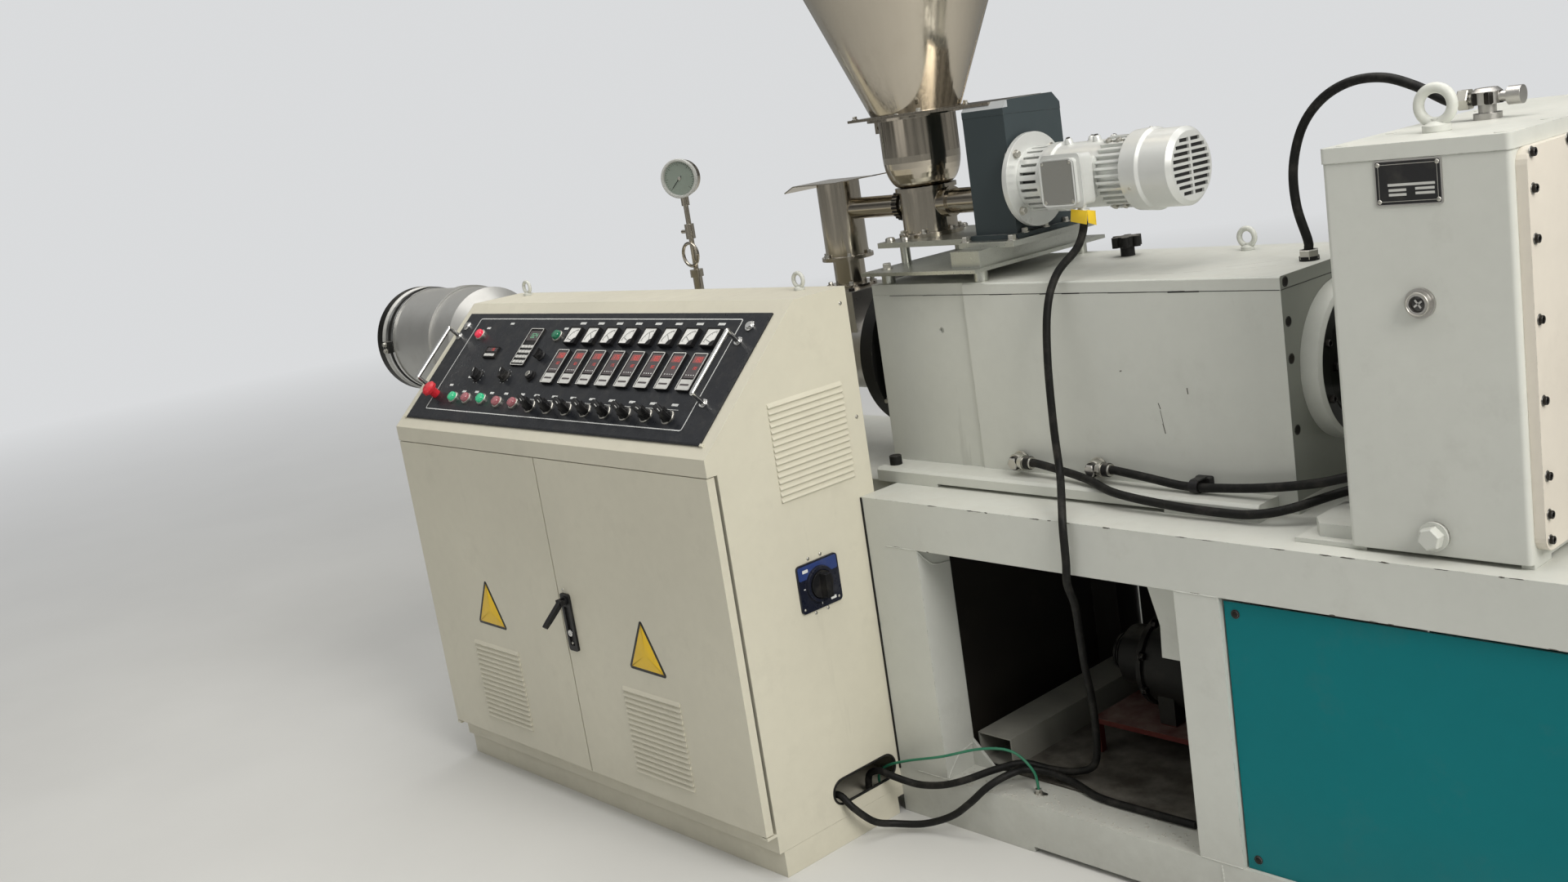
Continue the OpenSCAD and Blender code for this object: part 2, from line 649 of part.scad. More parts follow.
// Adapter and die head: face ring on the left, heater seam, cone down to the adapter and its flange.
module die_head() color(steel_c) at() {
  l = die_l + adapter_l;
  turned_x(die_x0, cy, axis_z, [[0, 0], [0, die_r - 56], [14, die_r - 52], [14, die_r - 20], [20, die_r + 8],
    [58, die_r + 8], [64, die_r], [340, die_r], [340, die_r + 8], [380, die_r + 8], [380, die_r],
    [die_l - 60, die_r], [die_l - 10, die_r - 46], [die_l + 20, die_r - 46], [die_l + 20, bare_r + 8],
    [l - 36, bare_r + 8], [l - 36, bare_r + 45], [l, bare_r + 45], [l, 0]]);
}

// Chute to the screws: flanged lower neck, wider tube above it and the side hole of the feed tube.
module drop_tube() color(silver_c) at() difference() {
  f = drop_flange_z - port_z;
  h = drop_z1 - port_z;
  turned_z(port_x, cy, port_z, [[0, port_r], [0, lower_r + 24], [9, lower_r + 24], [9, lower_r],
    [f - 9, lower_r], [f - 9, drop_r + 11], [f, drop_r + 11], [f, drop_r], [h, drop_r], [h, drop_r - tin],
    [f, drop_r - tin], [f, port_r]]);
  rod_x(port_x, port_x + drop_r + 2, cy, auger_z, auger_r - tin);
}

cap_t = 2.5;

// Bent cover plate over the chute, with a folded flap on the left.
module drop_cap() color(silver_c) at() across(cy - 62, cy + 62)
  polygon([for (p = [[-126, -14], [-92, 0], [drop_r + 4, 0], [bowl_off - bowl_r - 16, 9],
      [bowl_off - bowl_r - 16, 9 + cap_t], [drop_r + 4, cap_t], [-93, cap_t], [-127, cap_t - 14]])
    [port_x + p[0], drop_z1 + p[1]]]);

// Auger housing below the bowl, the tube to the chute and the drive sleeve to the gear case.
module feed_tube() color(silver_c) at() {
  h = bowl_z0 - shelf_top;
  turned_z(bowl_x, cy, shelf_top, [[0, 0], [0, neck_r + 12], [9, neck_r + 12], [9, neck_r], [h - 9, neck_r],
    [h - 9, neck_r + 8], [h, neck_r + 8], [h, 0]]);
  difference() {
    rod_x(port_x, bowl_x, cy, auger_z, auger_r);
    rod_z(port_x, cy, port_z, drop_z1, drop_r + seat);
  }
  turned_x(bowl_x - neck_r - 22, cy, auger_z, [[0, 0], [0, auger_r + 9], [14, auger_r + 9],
    [14, auger_r + 3], [32, auger_r + 3], [32, 0]]);
  turned_x(bowl_x + neck_r - 12, cy, auger_z, [[0, 0], [0, 34], [28, 34], [28, 28],
    [case_x0 - bowl_x - neck_r - 2, 28], [case_x0 - bowl_x - neck_r - 2, 44],
    [case_x0 - bowl_x - neck_r + 12, 44], [case_x0 - bowl_x - neck_r + 12, 0]]);
}

bowl_dish = 72;
bowl_low = neck_r - 8;
// Quarter of an ellipse from the bowl's outlet up to its side, as [height, radius].
function dish(r0, r1, z0, z1, n = 8) = [
  for (i = [0:n]) [z0 + (z1 - z0) * (1 - cos(90 * i / n)), r0 + (r1 - r0) * sin(90 * i / n)]
];
function backward(p) = [for (i = [len(p) - 1:-1:0]) p[i]];

// Dished bowl with a flanged rim and a lug on its left.
module feeder_bowl() color(silver_c) at() {
  h = bowl_z1 - bowl_z0;
  turned_z(bowl_x, cy, bowl_z0, concat(
    dish(bowl_low, bowl_r, 0, bowl_dish), [[h - 6, bowl_r], [h - 6, rim_r], [h, rim_r], [h, bowl_r - tin]],
    backward(dish(bowl_low - tin, bowl_r - tin, tin, bowl_dish)), [[0, bowl_low - tin]]));
  difference() {
    blk(bowl_x - rim_r - 10, bowl_x - bowl_r - 6, cy - 14, cy + 14, bowl_z1 - 34, bowl_z1 - 6 + eps);
    rod_y(bowl_x - rim_r + 2, cy - 15, cy + 15, bowl_z1 - 21, 5);
  }
}

hop_plate = 6;

// Hopper: cone, straight ring with a rolled rim, and the square plate that it stands on.
module feed_hopper() color(silver_c) at() {
  top = hop_h + hopper_ring;
  difference() {
    union() {
      turned_z(bowl_x, cy, hop_z0, [[0, hop_r0 - tin - 2], [0, hop_r0 + 4], [hop_plate, hop_r0 + 2],
        [hop_h, hopper_r], [hop_h + 4, hopper_r + 3], [hop_h + 10, hopper_r], [top - 14, hopper_r],
        [top - 10, hopper_r + rim_bead], [top - 2, hopper_r + rim_bead], [top, hopper_r + 5], [top, hopper_r - tin],
        [hop_h + 2, hopper_r - tin], [hop_plate, hop_r0 - tin - 2]]);
      blk(bowl_x - rim_r - 4, case_x0 + 70, cy - 104, cy + 70, hop_z0, hop_z0 + hop_plate);
    }
    rod_z(bowl_x, cy, hop_z0 - 1, hop_z0 + hop_plate + 1, hop_r0 - tin - 2);
  }
  blk(case_x0 + 12, case_x0 + 66, cy - 70, cy + 50, case_z1, hop_z0 + eps);
}

shelf_t = 12;
shelf_top = shelf_z + shelf_t;

// Base plate on spacers, riser with the case's plate, and the shelf of the auger housing.
module feeder_stand() color(frame_c) at() {
  blk(box_x0 + 6, fm_x0 - 32, cy - 218, cy + 222, plate_z, plate_z + 8);
  for (x = [box_x0 + 40, fm_x0 - 62], y = [cy - 168, cy + 168]) rod_z(x, y, dist_z1, plate_z + eps, 15);
  blk(case_x0 - 12, case_x0 + 68, cy - 186, cy + 166, plate_z + 8 - eps, riser_z);
  blk(case_x0 - 22, fm_x0 + 18, cy - 146, cy + 124, riser_z - eps, case_z0);
  blk(bowl_x - 60, case_x0 - 22 + eps, cy - 118, cy + 118, shelf_z, shelf_top);
  for (y = [cy - 90, cy + 90]) rod_z(box_x0 + 26, y, plate_z + 8 - eps, shelf_z + eps, 11);
}

case_cut = 22;

module feeder_case() color(slate_c) at() {
  blk(case_x0 - 9, fm_x0 + 9, case_y0 - 9, case_y0 + case_d + 9, case_z0, case_z0 + 10);
  along(case_x0, fm_x0) polygon([
    [case_y0, case_z0], [case_y0 + case_d, case_z0], [case_y0 + case_d, case_z1 - case_cut],
    [case_y0 + case_d - case_cut, case_z1], [case_y0 + 8, case_z1], [case_y0, case_z1 - 8]
  ]);
}

fm_r = 62;
fin_h = 9;
box_u = 131;

// Flanged motor: disc, lantern with slots all round, smooth shell, finned shell and terminal boss.
module feeder_motor() color(silver_c) at() {
  difference() {
    turned_x(fm_x0, fm_y, fm_z, [[0, 0], [0, 60], [10, 60], [10, 97], [22, 97], [22, fm_r + 4], [80, fm_r + 4],
      [84, fm_r + 8], [104, fm_r + 8], [108, fm_r + 4], [222, fm_r + 4], [222, 0]]);
    for (a = [0:15:345]) translate([fm_x0 + 30, fm_y, fm_z]) rotate([a, 0, 0])
      blk(0, 42, -3, 3, fm_r - 8, fm_r + 9);
  }
  translate([fm_x0 + 222 - eps, fm_y, fm_z]) rotate([0, 90, 0]) linear_extrude(height = 62)
    polygon(fins(fm_r, fin_h, 32, 0.4));
  blk(fm_x0 + box_u + 8, fm_x0 + box_u + 82, fm_y - fm_r - 10, fm_y, fm_z - 40, fm_z + 40);
}

cowl_x0 = fm_x0 + 284;

// Stepped fan cowl with rows of slots in its round end.
module feeder_motor_cowl() color(silver_c) at() difference() {
  turned_x(cowl_x0, fm_y, fm_z, [[0, 0], [0, fm_r + 16], [38, fm_r + 18], [44, fm_r + 13], [104, fm_r + 13],
    [113, fm_r + 4], [113, 0]]);
  for (i = [-4:4]) let (half = sqrt(pow(fm_r - 2, 2) - pow(12.5 * i, 2)), z = fm_z + 12.5 * i)
    for (k = [-1, 1])
      blk(cowl_x0 + 108, cowl_x0 + 114, fm_y + (k > 0 ? 3 : -half), fm_y + (k > 0 ? half : -3), z - 3.5, z + 3.5);
}

gland_x = fm_x0 + 206;
gland_y = fm_y - 98;

// Terminal box with a stepped lid and the cable gland below it.
module feeder_terminal_box() color(silver_c) at() {
  for (s = [[0, 0, 36], [-3, 36, 5], [5, 41, 9]])
    translate([fm_x0 + box_u + s[0], fm_y - fm_r - 10 - s[1], fm_z - 50 + s[0]]) rotate([90, 0, 0])
      linear_extrude(height = s[2] + eps) polygon(round_rect(90 - 2 * s[0], 100 - 2 * s[0], 10));
  turned_z(gland_x, gland_y, fm_z - 75, [[0, 0], [0, 10], [8, 10], [8, 14], [17, 14], [17, 9], [26, 9],
    [26, 0]]);
}

// Routes of hoses and cables, chosen by hand along what carries them, counted from the first bay.
hose_routes = [
  [[213, 154, 807], [228, 154, 807], [300, 148, 798], [375, 130, 791], [461, 101, 779], [585, 98, 767],
    [700, 102, 762], [760, 104, 765], [815, 124, 774], [880, 178, 793], [938, 235, 806], [955, 235, 806]],
  [[412, 154, 807], [427, 154, 807], [501, 150, 800], [587, 150, 790], [670, 150, 793], [763, 150, 802],
    [860, 152, 818], [938, 172, 836], [955, 172, 836]],
  [[1064, 330, 1438], [1048, 330, 1438], [985, 340, 1470], [925, 350, 1489], [865, 350, 1488],
    [810, 350, 1464], [768, 350, 1418], [745, 350, 1350], [745, 350, 1280], [762, 350, 1216],
    [762, 350, 1199]]
];
hose_r = 8.5;
arch_end = [762, 350];
cable_route = [
  [360, 223, 1296], [360, 223, 1278], [350, 208, 1240], [322, 172, 1196], [314, 142, 1135], [317, 120, 1037],
  [324, 106, 908], [336, 94, 815], [374, 46, 792], [406, 4, 772], [420, -17, 736], [417, -16, 668],
  [412, -14, 625], [396, 20, 570], [366, 60, 490], [340, 96, 400], [314, 138, 300], [304, 148, 200],
  [292, 144, 152], [250, 132, 134], [196, 116, 134], [150, 84, 150], [108, 38, 144], [58, -12, 127],
  [0, -26, 108], [-60, -36, 100], [-110, -56, 114], [-150, -62, 122], [-182, -64, 108], [-190, -65, 82],
  [-190, -65, 63.2]
];
loop_route = [
  [-192, -182, 63.2], [-190, -182, 88], [-176, -183, 108], [-150, -184, 112], [-122, -178, 88],
  [-104, -140, 44], [-84, -98, 26], [-30, -62, 24], [36, -42, 50], [88, -32, 90], [122, -8, 125],
  [146, 30, 142], [168, 68, 146], [206, 98, 136], [270, 104, 124], [350, 84, 119], [460, 82, 118.8], [580, 84, 118.8]
];
earth_route = [
  [-186, -36, 63.2], [-182, -36, 96], [-150, -38, 124], [-80, -36, 152], [20, -30, 182], [110, 0, 208],
  [165, 36, 200], [206, 50, 160], [216, 50, 110.6]
];

function unit(v) = v / norm(v);
function heading(p, i) = unit(p[min(i + 1, len(p) - 1)] - p[max(i - 1, 0)]);
function ring(p, i, r, n, ref) = let (t = heading(p, i), a = unit(cross(t, ref)), b = cross(t, a))
  [for (k = [0:n - 1]) p[i] + r * (cos(360 * k / n) * a + sin(360 * k / n) * b)];

// A round cord swept along a route; ref is a direction that the route never runs in.
module cord(p, r, n = 8, ref = [0, 1, 0]) {
  m = len(p);
  polyhedron([for (i = [0:m - 1]) each ring(p, i, r, n, ref)], concat(
    [[for (k = [0:n - 1]) k], [for (k = [n - 1:-1:0]) (m - 1) * n + k]],
    [for (i = [0:m - 2], k = [0:n - 1]) [i * n + k, (i + 1) * n + k, (i + 1) * n + (k + 1) % n,
      i * n + (k + 1) % n]]));
}

module oil_hoses() color(dark_c) at() {
  cord(hose_routes[0], hose_r, ref = [0, 0, 1]);
  cord(hose_routes[1], hose_r, ref = [0, 0, 1]);
  cord(hose_routes[2], hose_r);
}

module cables() color(dark_c) at() {
  cord(cable_route, 8);
  cord(loop_route, 8);
  cord(earth_route, 3, 6);
}

// Cabinet: the side outline in depth and height, drawn in by o and ending at z0 below.
module cab_outline(o, z0) translate([cab_y0, 0]) polygon([
  [body_y + o, z0 + o], [cab_d - o, z0 + o], [cab_d - o, cab_h - o], [ridge_d + o * 0.4, cab_h - o],
  [o, lip_z - o * 1.2], [o, lip_z - lip_h + o], [body_y + o, lip_z - lip_h + o]
]);

hinge_x = [cab_x0 + 2 + hinge_in, cab_x1 - 2 - hinge_in];

// Pin that a door turns on, and the bracket below the door that carries the lower one.
module hinge_pins() for (x = hinge_x) {
  rod_z(x, cab_y0 + hinge_in, door_z + door_h - pin_l, lip_z - lip_h + 1, pin_r);
  rod_z(x, cab_y0 + hinge_in, door_z - 5, door_z + pin_l, pin_r);
  blk(x - 9, x + 9, cab_y0, cab_y0 + body_y + 1, door_z - 8, door_z - 2);
}

ear_w = 8;

// Ears beside the desk panel with the pins of its hinge.
module desk_hinge() on_slope() for (u = [pan_u - 2 - ear_w, pan_u1 + 2]) {
  blk(u, u + ear_w, knuckle_s - 3, knuckle_s + 3, -eps, knuckle_n + 3);
  rod_x(u < cab_w / 2 ? u : u - 12, u < cab_w / 2 ? u + ear_w + 12 : u + ear_w, knuckle_s, knuckle_n, 1.2);
}

module cabinet_body() color(cream_c) at() {
  hinge_pins();
  desk_hinge();
  on_side(side_louvre_v, side_louvre_z) louvres(louvre_w, side_louvres);
  difference() {
    along(cab_x0, cab_x1) cab_outline(0, plinth_h);
    along(cab_x0 + sheet, cab_x1 - sheet) cab_outline(sheet, plinth_h);
    // Door openings, with a post between them.
    for (x = [cab_x0 + 30, cab_x0 + cab_w / 2 + 20])
      blk(x, x + cab_w / 2 - 50, cab_y0 + body_y - 1, cab_y0 + body_y + sheet + 1, door_z + 20,
        lip_z - lip_h - 30);
    // Cut-out under the desk panel.
    on_slope() blk(pan_u + 20, pan_u1 - 20, pan_s0 + 20, pan_s1 - 20, -20, 1);
    // Cable cut-out with round ends.
    on_side(0, cut_z) translate([0, 0, -sheet - 1]) {
      for (v = [cut_v0 + cut_r, cut_v1 - cut_r]) translate([v, 0, 0]) cylinder(r = cut_r, h = sheet + 2);
      translate([cut_v0 + cut_r, -cut_r, 0]) cube([cut_v1 - cut_v0 - 2 * cut_r, 2 * cut_r, sheet + 2]);
    }
  }
}

notch_v = 385;
notch_h = 39;

// Base of the cabinet, flush with its sides, with a notch at each lower rear corner.
module cabinet_plinth() color(cream_c) at() difference() {
  blk(cab_x0, cab_x1, cab_y0 + plinth_in, cab_y1, 0, plinth_h);
  blk(cab_x0 + sheet, cab_x1 - sheet, cab_y0 + plinth_in + sheet, cab_y1 - sheet, -1, plinth_h + 1);
  blk(cab_x0 - 1, cab_x1 + 1, cab_y0 + notch_v, cab_y1 + 1, -1, notch_h);
}

// A door is a pan with folded edges and a solid corner block at each pin.
module door_slab(x0, x1, px) difference() {
  union() {
    difference() {
      blk(x0, x1, cab_y0, cab_y0 + door_t, door_z, door_z + door_h);
      blk(x0 + 2, x1 - 2, cab_y0 + 2, cab_y0 + door_t + 1, door_z + 2, door_z + door_h - 2);
    }
    for (z = [door_z, door_z + door_h - pin_l - 6])
      blk(px - hinge_in, px + hinge_in, cab_y0, cab_y0 + door_t, z, z + pin_l + 6);
  }
  for (z = [door_z - 1, door_z + door_h - pin_l - 0.5])
    rod_z(px, cab_y0 + hinge_in, z, z + pin_l + 1.5, pin_r + 0.1);
}

module door_left() color(cream_c) at() {
  door_slab(cab_x0 + 2, cab_x0 + cab_w / 2 - 2, hinge_x[0]);
  on_front(cab_w / 4 - 26 - louvre_w / 2, door_louvre_z) louvres(louvre_w, door_louvres);
}
module door_right() color(cream_c) at() {
  door_slab(cab_x0 + cab_w / 2 + 2, cab_x1 - 2, hinge_x[1]);
  on_front(cab_w * 3 / 4 - 14 - louvre_w / 2, door_louvre_z - 4) louvres(louvre_w, door_louvres);
}

lock_w = 36;
lock_h = 142;
hub_r = 11;

// Plate of the swing handle, with the handle's trough and the bore of its hub.
module lock_plate() color(dark_c) at() difference() {
  on_front(lock_u - lock_w / 2, lock_z - lock_h / 2) linear_extrude(height = lock_t)
    polygon(round_rect(lock_w, lock_h, 6));
  on_front(lock_u - 9, lock_z - lock_h / 2 + 14) translate([0, 0, 2]) cube([18, lock_h - 46, lock_t]);
  rod_y(cab_x0 + lock_u, cab_y0 - lock_t - 1, cab_y0 - 2, hub_z, hub_r + seat);
}

// Hub that turns in the lock plate and carries the lever's pin between two ears.
module lever_hub() color(dark_c) at() {
  rod_y(cab_x0 + lock_u, cab_y0 - lock_t - 3, cab_y0 - 2.3, hub_z, hub_r);
  for (s = [-1, 1])
    blk(cab_x0 + lock_u + s * 9 - 2, cab_x0 + lock_u + s * 9 + 2, pin_y - 6, cab_y0 - lock_t - 2, hub_z - 6,
      hub_z + 6);
  rod_x(cab_x0 + lock_u - 8, cab_x0 + lock_u + 8, pin_y, hub_z, 2.5);
}

// Lever, lifted out of its plate.
module door_lever() color(dark_c) at()
  translate([cab_x0 + lock_u, pin_y, hub_z]) rotate([-lever_lift, 0, 0]) difference() {
    union() {
      rod_x(-6.5, 6.5, 0, 0, 6);
      along(-6.5, 6.5) polygon([[-6, 0], [6, 0], [5, -lever_l * 0.7], [3.5, -lever_l], [-5, -lever_l],
        [-6, -lever_l * 0.8]]);
    }
    rod_x(-8, 8, 0, 0, 2.8);
  }

module console_panel() color(console_c) at() on_slope() difference() {
  union() {
    blk(pan_u, pan_u1, pan_s0, pan_s1, seat, pan_t);
    rod_x(pan_u, pan_u1, knuckle_s, knuckle_n, knuckle_r);
    blk(pan_u, pan_u1, knuckle_s, pan_s0 + 1, knuckle_n - 1, knuckle_n + 1);
  }
  for (u = [pan_u - 1, pan_u1 - 12]) rod_x(u, u + 13, knuckle_s, knuckle_n, 1.45);
  translate([stop_u, stop_s, -1]) cylinder(r = stop_r + 0.5, h = pan_t + 2);
}

// A framed instrument with its glass set back.
module instrument(u, s, w, h, t, rim = 3) translate([u - w / 2, s - h / 2, pan_t]) difference() {
  linear_extrude(height = t) polygon(round_rect(w, h, 3));
  translate([rim, rim, t - 2]) cube([w - 2 * rim, h - 2 * rim, 3]);
}

meter_size = 48;
meter_s = 292;
control_h = 96;
control_s = 203;

module console_meters() color(dark_c) at() on_slope() {
  for (i = [0:inst_n - 1]) {
    instrument(inst_u0 + i * inst_pitch, meter_s, meter_size, meter_size, 11);
    instrument(inst_u0 + i * inst_pitch, control_s, meter_size, control_h, 8);
  }
  instrument(257, 239, 58, 34, 6);
  instrument(412, 258, 60, 112, 5);
}

// Rotary selector: collar, round body and a bar across it.
module selector(u, s, r = 14, turn = 30) translate([u, s, pan_t]) {
  turned([[0, 0], [0, r + 3], [3, r + 3], [5, r], [14, r - 1], [14, 0]]);
  rotate([0, 0, turn]) translate([-4, -r - 2, 8]) cube([8, 2 * r + 4, 14]);
}
// Push button or lamp with a collar and a slightly domed head.
module button(u, s, r = 12, h = 13) translate([u, s, pan_t])
  turned([[0, 0], [0, r + 3], [4, r + 3], [4, r], [h - 3, r], [h, r - 4], [h, 0]]);

selector_s = 90;

module console_knobs() color(dark_c) at() on_slope() {
  for (i = [0:inst_n - 1]) selector(inst_u0 - 14 + i * inst_pitch * 1.02, selector_s, 13);
  selector(262, 166);
  selector(388, 170);
  selector(495, 233, 10, 0);
  for (p = [[209, 98], [274, 98], [347, 99], [426, 94], [500, 94], [150, 293], [516, 293], [504, 174]])
    button(p[0], p[1]);
}

// Bow handles of round bar, and the two panel locks.
module console_handles() color(steel_c) at() on_slope() {
  for (u = handle_u) {
    for (s = [handle_s0, handle_s1]) translate([u, s, pan_t]) {
      cylinder(r = handle_r + 4, h = 4);
      cylinder(r = handle_r, h = handle_out);
      translate([0, 0, handle_out]) sphere(r = handle_r);
    }
    translate([u, handle_s0, pan_t + handle_out]) rotate([-90, 0, 0])
      cylinder(r = handle_r, h = handle_s1 - handle_s0);
  }
  for (p = [[pan_u + 23, 321], [pan_u1 - 47, 327]]) translate([p[0], p[1], pan_t])
    turned([[0, 0], [0, 11], [3, 11], [5, 8], [8, 8], [8, 0]]);
}

stop_head = 22;

// Mushroom button: its stem slides in the panel, with a collar behind it.
module stop_button() color(red_c) at() on_slope() translate([stop_u, stop_s, 0])
  turned([[-14, 0], [-14, stop_r + 4], [-9, stop_r + 4], [-9, stop_r], [pan_t + stop_head, stop_r],
    [pan_t + stop_head, 20], [pan_t + stop_head + 8, 20], [pan_t + stop_head + 13, 14],
    [pan_t + stop_head + 15, 0]]);

sw_w = 118;
sw_h = 107;
sw_t = 5;
sw_r = 30;

// Main switch: framed plate with a raised ring, and the handle that turns in it.
module switch_plate() color(dark_c) at() on_side(sw_v - sw_w / 2, sw_z - sw_h / 2) {
  linear_extrude(height = sw_t) polygon(round_rect(sw_w, sw_h, 9));
  translate([sw_w / 2, sw_h / 2, 0]) turned([[0, sw_r + 2], [0, sw_r + 12], [sw_t + 7, sw_r + 9],
    [sw_t + 7, sw_r + 2]]);
}

module switch_knob() color(dark_c) at() on_side(sw_v, sw_z) {
  translate([0, 0, sw_t + seat]) cylinder(r = sw_r, h = 10);
  translate([-8, -sw_r + 4, sw_t + seat + 9]) cube([16, 2 * sw_r - 8, 22]);
}

base_frame();
bay_panels();
bay_back();
bay_tray();
oil_pump();
distribution_box();
box_lid();
box_fittings();
shaft_coupling();
reducer_housing();
reducer_lid();
reducer_side_cover();
reducer_fittings();
lifting_eyes();
motor_coupling();
main_motor();
motor_cowl();
motor_terminal_box();
barrel();
barrel_heaters();
barrel_flange();
barrel_stand();
vacuum_gauge();
die_head();
feed_hopper();
feeder_bowl();
feed_tube();
drop_tube();
drop_cap();
feeder_stand();
feeder_case();
feeder_motor();
feeder_motor_cowl();
feeder_terminal_box();
oil_hoses();
cables();
cabinet_body();
cabinet_plinth();
door_left();
door_right();
lock_plate();
lever_hub();
door_lever();
console_panel();
console_meters();
console_knobs();
console_handles();
stop_button();
switch_plate();
switch_knob();
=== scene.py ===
"""Plastic extruder with its gearboxes, feeder and control cabinet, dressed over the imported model.

Lengths in the classes are millimetres of the machine: x runs from the die to the main motor and is
zero at the first bay's left edge, y runs back from the frame's front face, z is the height above the
floor. Site turns them into the row frame's metres when a piece is built.
"""
import logging
import math
from dataclasses import dataclass, field, replace
from enum import Enum
from typing import Iterable, Sequence

import bpy
import numpy as np
from mathutils import Matrix, Vector


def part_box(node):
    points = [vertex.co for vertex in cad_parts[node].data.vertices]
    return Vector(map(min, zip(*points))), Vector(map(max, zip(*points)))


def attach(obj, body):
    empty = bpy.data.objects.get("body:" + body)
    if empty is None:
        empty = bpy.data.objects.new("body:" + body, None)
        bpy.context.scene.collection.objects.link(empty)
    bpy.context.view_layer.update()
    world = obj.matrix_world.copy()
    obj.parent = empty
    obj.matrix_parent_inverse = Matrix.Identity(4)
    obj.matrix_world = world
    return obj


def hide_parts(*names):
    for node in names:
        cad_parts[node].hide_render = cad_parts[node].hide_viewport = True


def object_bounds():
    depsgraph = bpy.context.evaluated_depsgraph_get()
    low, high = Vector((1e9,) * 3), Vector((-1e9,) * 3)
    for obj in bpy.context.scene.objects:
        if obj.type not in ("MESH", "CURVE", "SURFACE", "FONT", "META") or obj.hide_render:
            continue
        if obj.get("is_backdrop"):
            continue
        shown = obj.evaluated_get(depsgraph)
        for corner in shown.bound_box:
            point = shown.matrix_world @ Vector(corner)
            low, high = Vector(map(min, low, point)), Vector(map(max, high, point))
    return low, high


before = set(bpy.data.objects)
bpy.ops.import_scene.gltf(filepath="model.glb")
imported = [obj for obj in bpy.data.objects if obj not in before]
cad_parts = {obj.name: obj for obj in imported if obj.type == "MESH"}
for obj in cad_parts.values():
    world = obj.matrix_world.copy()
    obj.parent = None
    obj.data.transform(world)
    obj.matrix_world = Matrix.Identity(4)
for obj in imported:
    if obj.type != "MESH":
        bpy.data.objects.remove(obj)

log = logging.getLogger("extruder")
Array = np.ndarray
Point = tuple[float, float, float]
Pair = tuple[float, float]
Colour = tuple[int, int, int]

CAD_LOW, CAD_HIGH = (tuple(corner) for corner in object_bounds())
MM = 0.001
AXIS_Y, AXIS_Z = 375.0, 995.0


@dataclass(frozen=True)
class Site:
    """Place of the machine's zero in the row frame, in metres."""

    zero: Point

    @classmethod
    def from_frame(cls) -> "Site":
        """Finds the zero from the frame node, whose left end lies 1667 mm left of it.

        Returns:
            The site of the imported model.
        """
        low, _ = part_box("base_frame")
        return cls((low[0] + 1667 * MM, low[1], 0.0))

    def metres(self, points: Array) -> Array:
        """Turns an (n, 3) array of machine millimetres into metres of the row frame."""
        return np.asarray(points, float) * MM + np.asarray(self.zero)


SITE = Site.from_frame()


class Facing(Enum):
    """Ways that a surface faces: its local x, y and outward z axis in the machine."""

    TOP = ((1, 0, 0), (0, 1, 0), (0, 0, 1))
    FRONT = ((1, 0, 0), (0, 0, 1), (0, -1, 0))
    BACK = ((-1, 0, 0), (0, 0, 1), (0, 1, 0))
    RIGHT = ((0, 1, 0), (0, 0, 1), (1, 0, 0))
    LEFT = ((0, -1, 0), (0, 0, 1), (-1, 0, 0))
    DESK = ((1, 0, 0), (0, 0.742436, 0.669917), (0, -0.669917, 0.742436))

    def at(self, origin: Sequence[float], turn: float = 0.0) -> Array:
        """Places a local frame on a surface that faces this way.

        Args:
            origin: the place of the local zero, in machine millimetres.
            turn: degrees that the local x and y axes turn about the outward axis.

        Returns:
            The 4 by 4 matrix from local to machine millimetres.
        """
        c, s = math.cos(math.radians(turn)), math.sin(math.radians(turn))
        x, y, z = (np.array(axis, float) for axis in self.value)
        matrix = np.eye(4)
        matrix[:3, 0], matrix[:3, 1], matrix[:3, 2] = x * c + y * s, y * c - x * s, z
        matrix[:3, 3] = origin
        return matrix


# Surfaces


@dataclass
class Surface:
    """Points in millimetres, and the faces between them as (m, 3) or (m, 4) arrays."""

    points: Array
    faces: list[Array]

    def moved(self, matrix: Array) -> "Surface":
        """Returns the surface with every point p at matrix times p."""
        return Surface(self.points @ matrix[:3, :3].T + matrix[:3, 3], self.faces)

    @staticmethod
    def joined(parts: Iterable["Surface"]) -> "Surface":
        """Returns one surface that holds all the parts."""
        points, faces, count = [], [], 0
        for part in parts:
            points.append(part.points)
            faces += [f + count for f in part.faces]
            count += len(part.points)
        return Surface(np.vstack(points), faces)

    def repeated(self, places: Iterable[Array]) -> "Surface":
        """Returns copies of the surface, one at each matrix."""
        return Surface.joined(self.moved(m) for m in places)


def ring_faces(rings: int, sides: int, first: int = 0) -> Array:
    """Quads between rings of equal size: ring i, side k joins k and k + 1 of rings i and i + 1."""
    i, k = np.meshgrid(np.arange(rings - 1), np.arange(sides), indexing="ij")
    a, b = i * sides + k, i * sides + (k + 1) % sides
    return np.stack([a, b, b + sides, a + sides], -1).reshape(-1, 4) + first


def fan_faces(ring: int, sides: int, tip: int, up: bool) -> Array:
    """Triangles from a ring that starts at point ring to the point tip, facing up or down."""
    k = np.arange(sides)
    a, b = ring + k, ring + (k + 1) % sides
    first, second = (a, b) if up else (b, a)
    return np.stack([first, second, np.full(sides, tip)], -1)


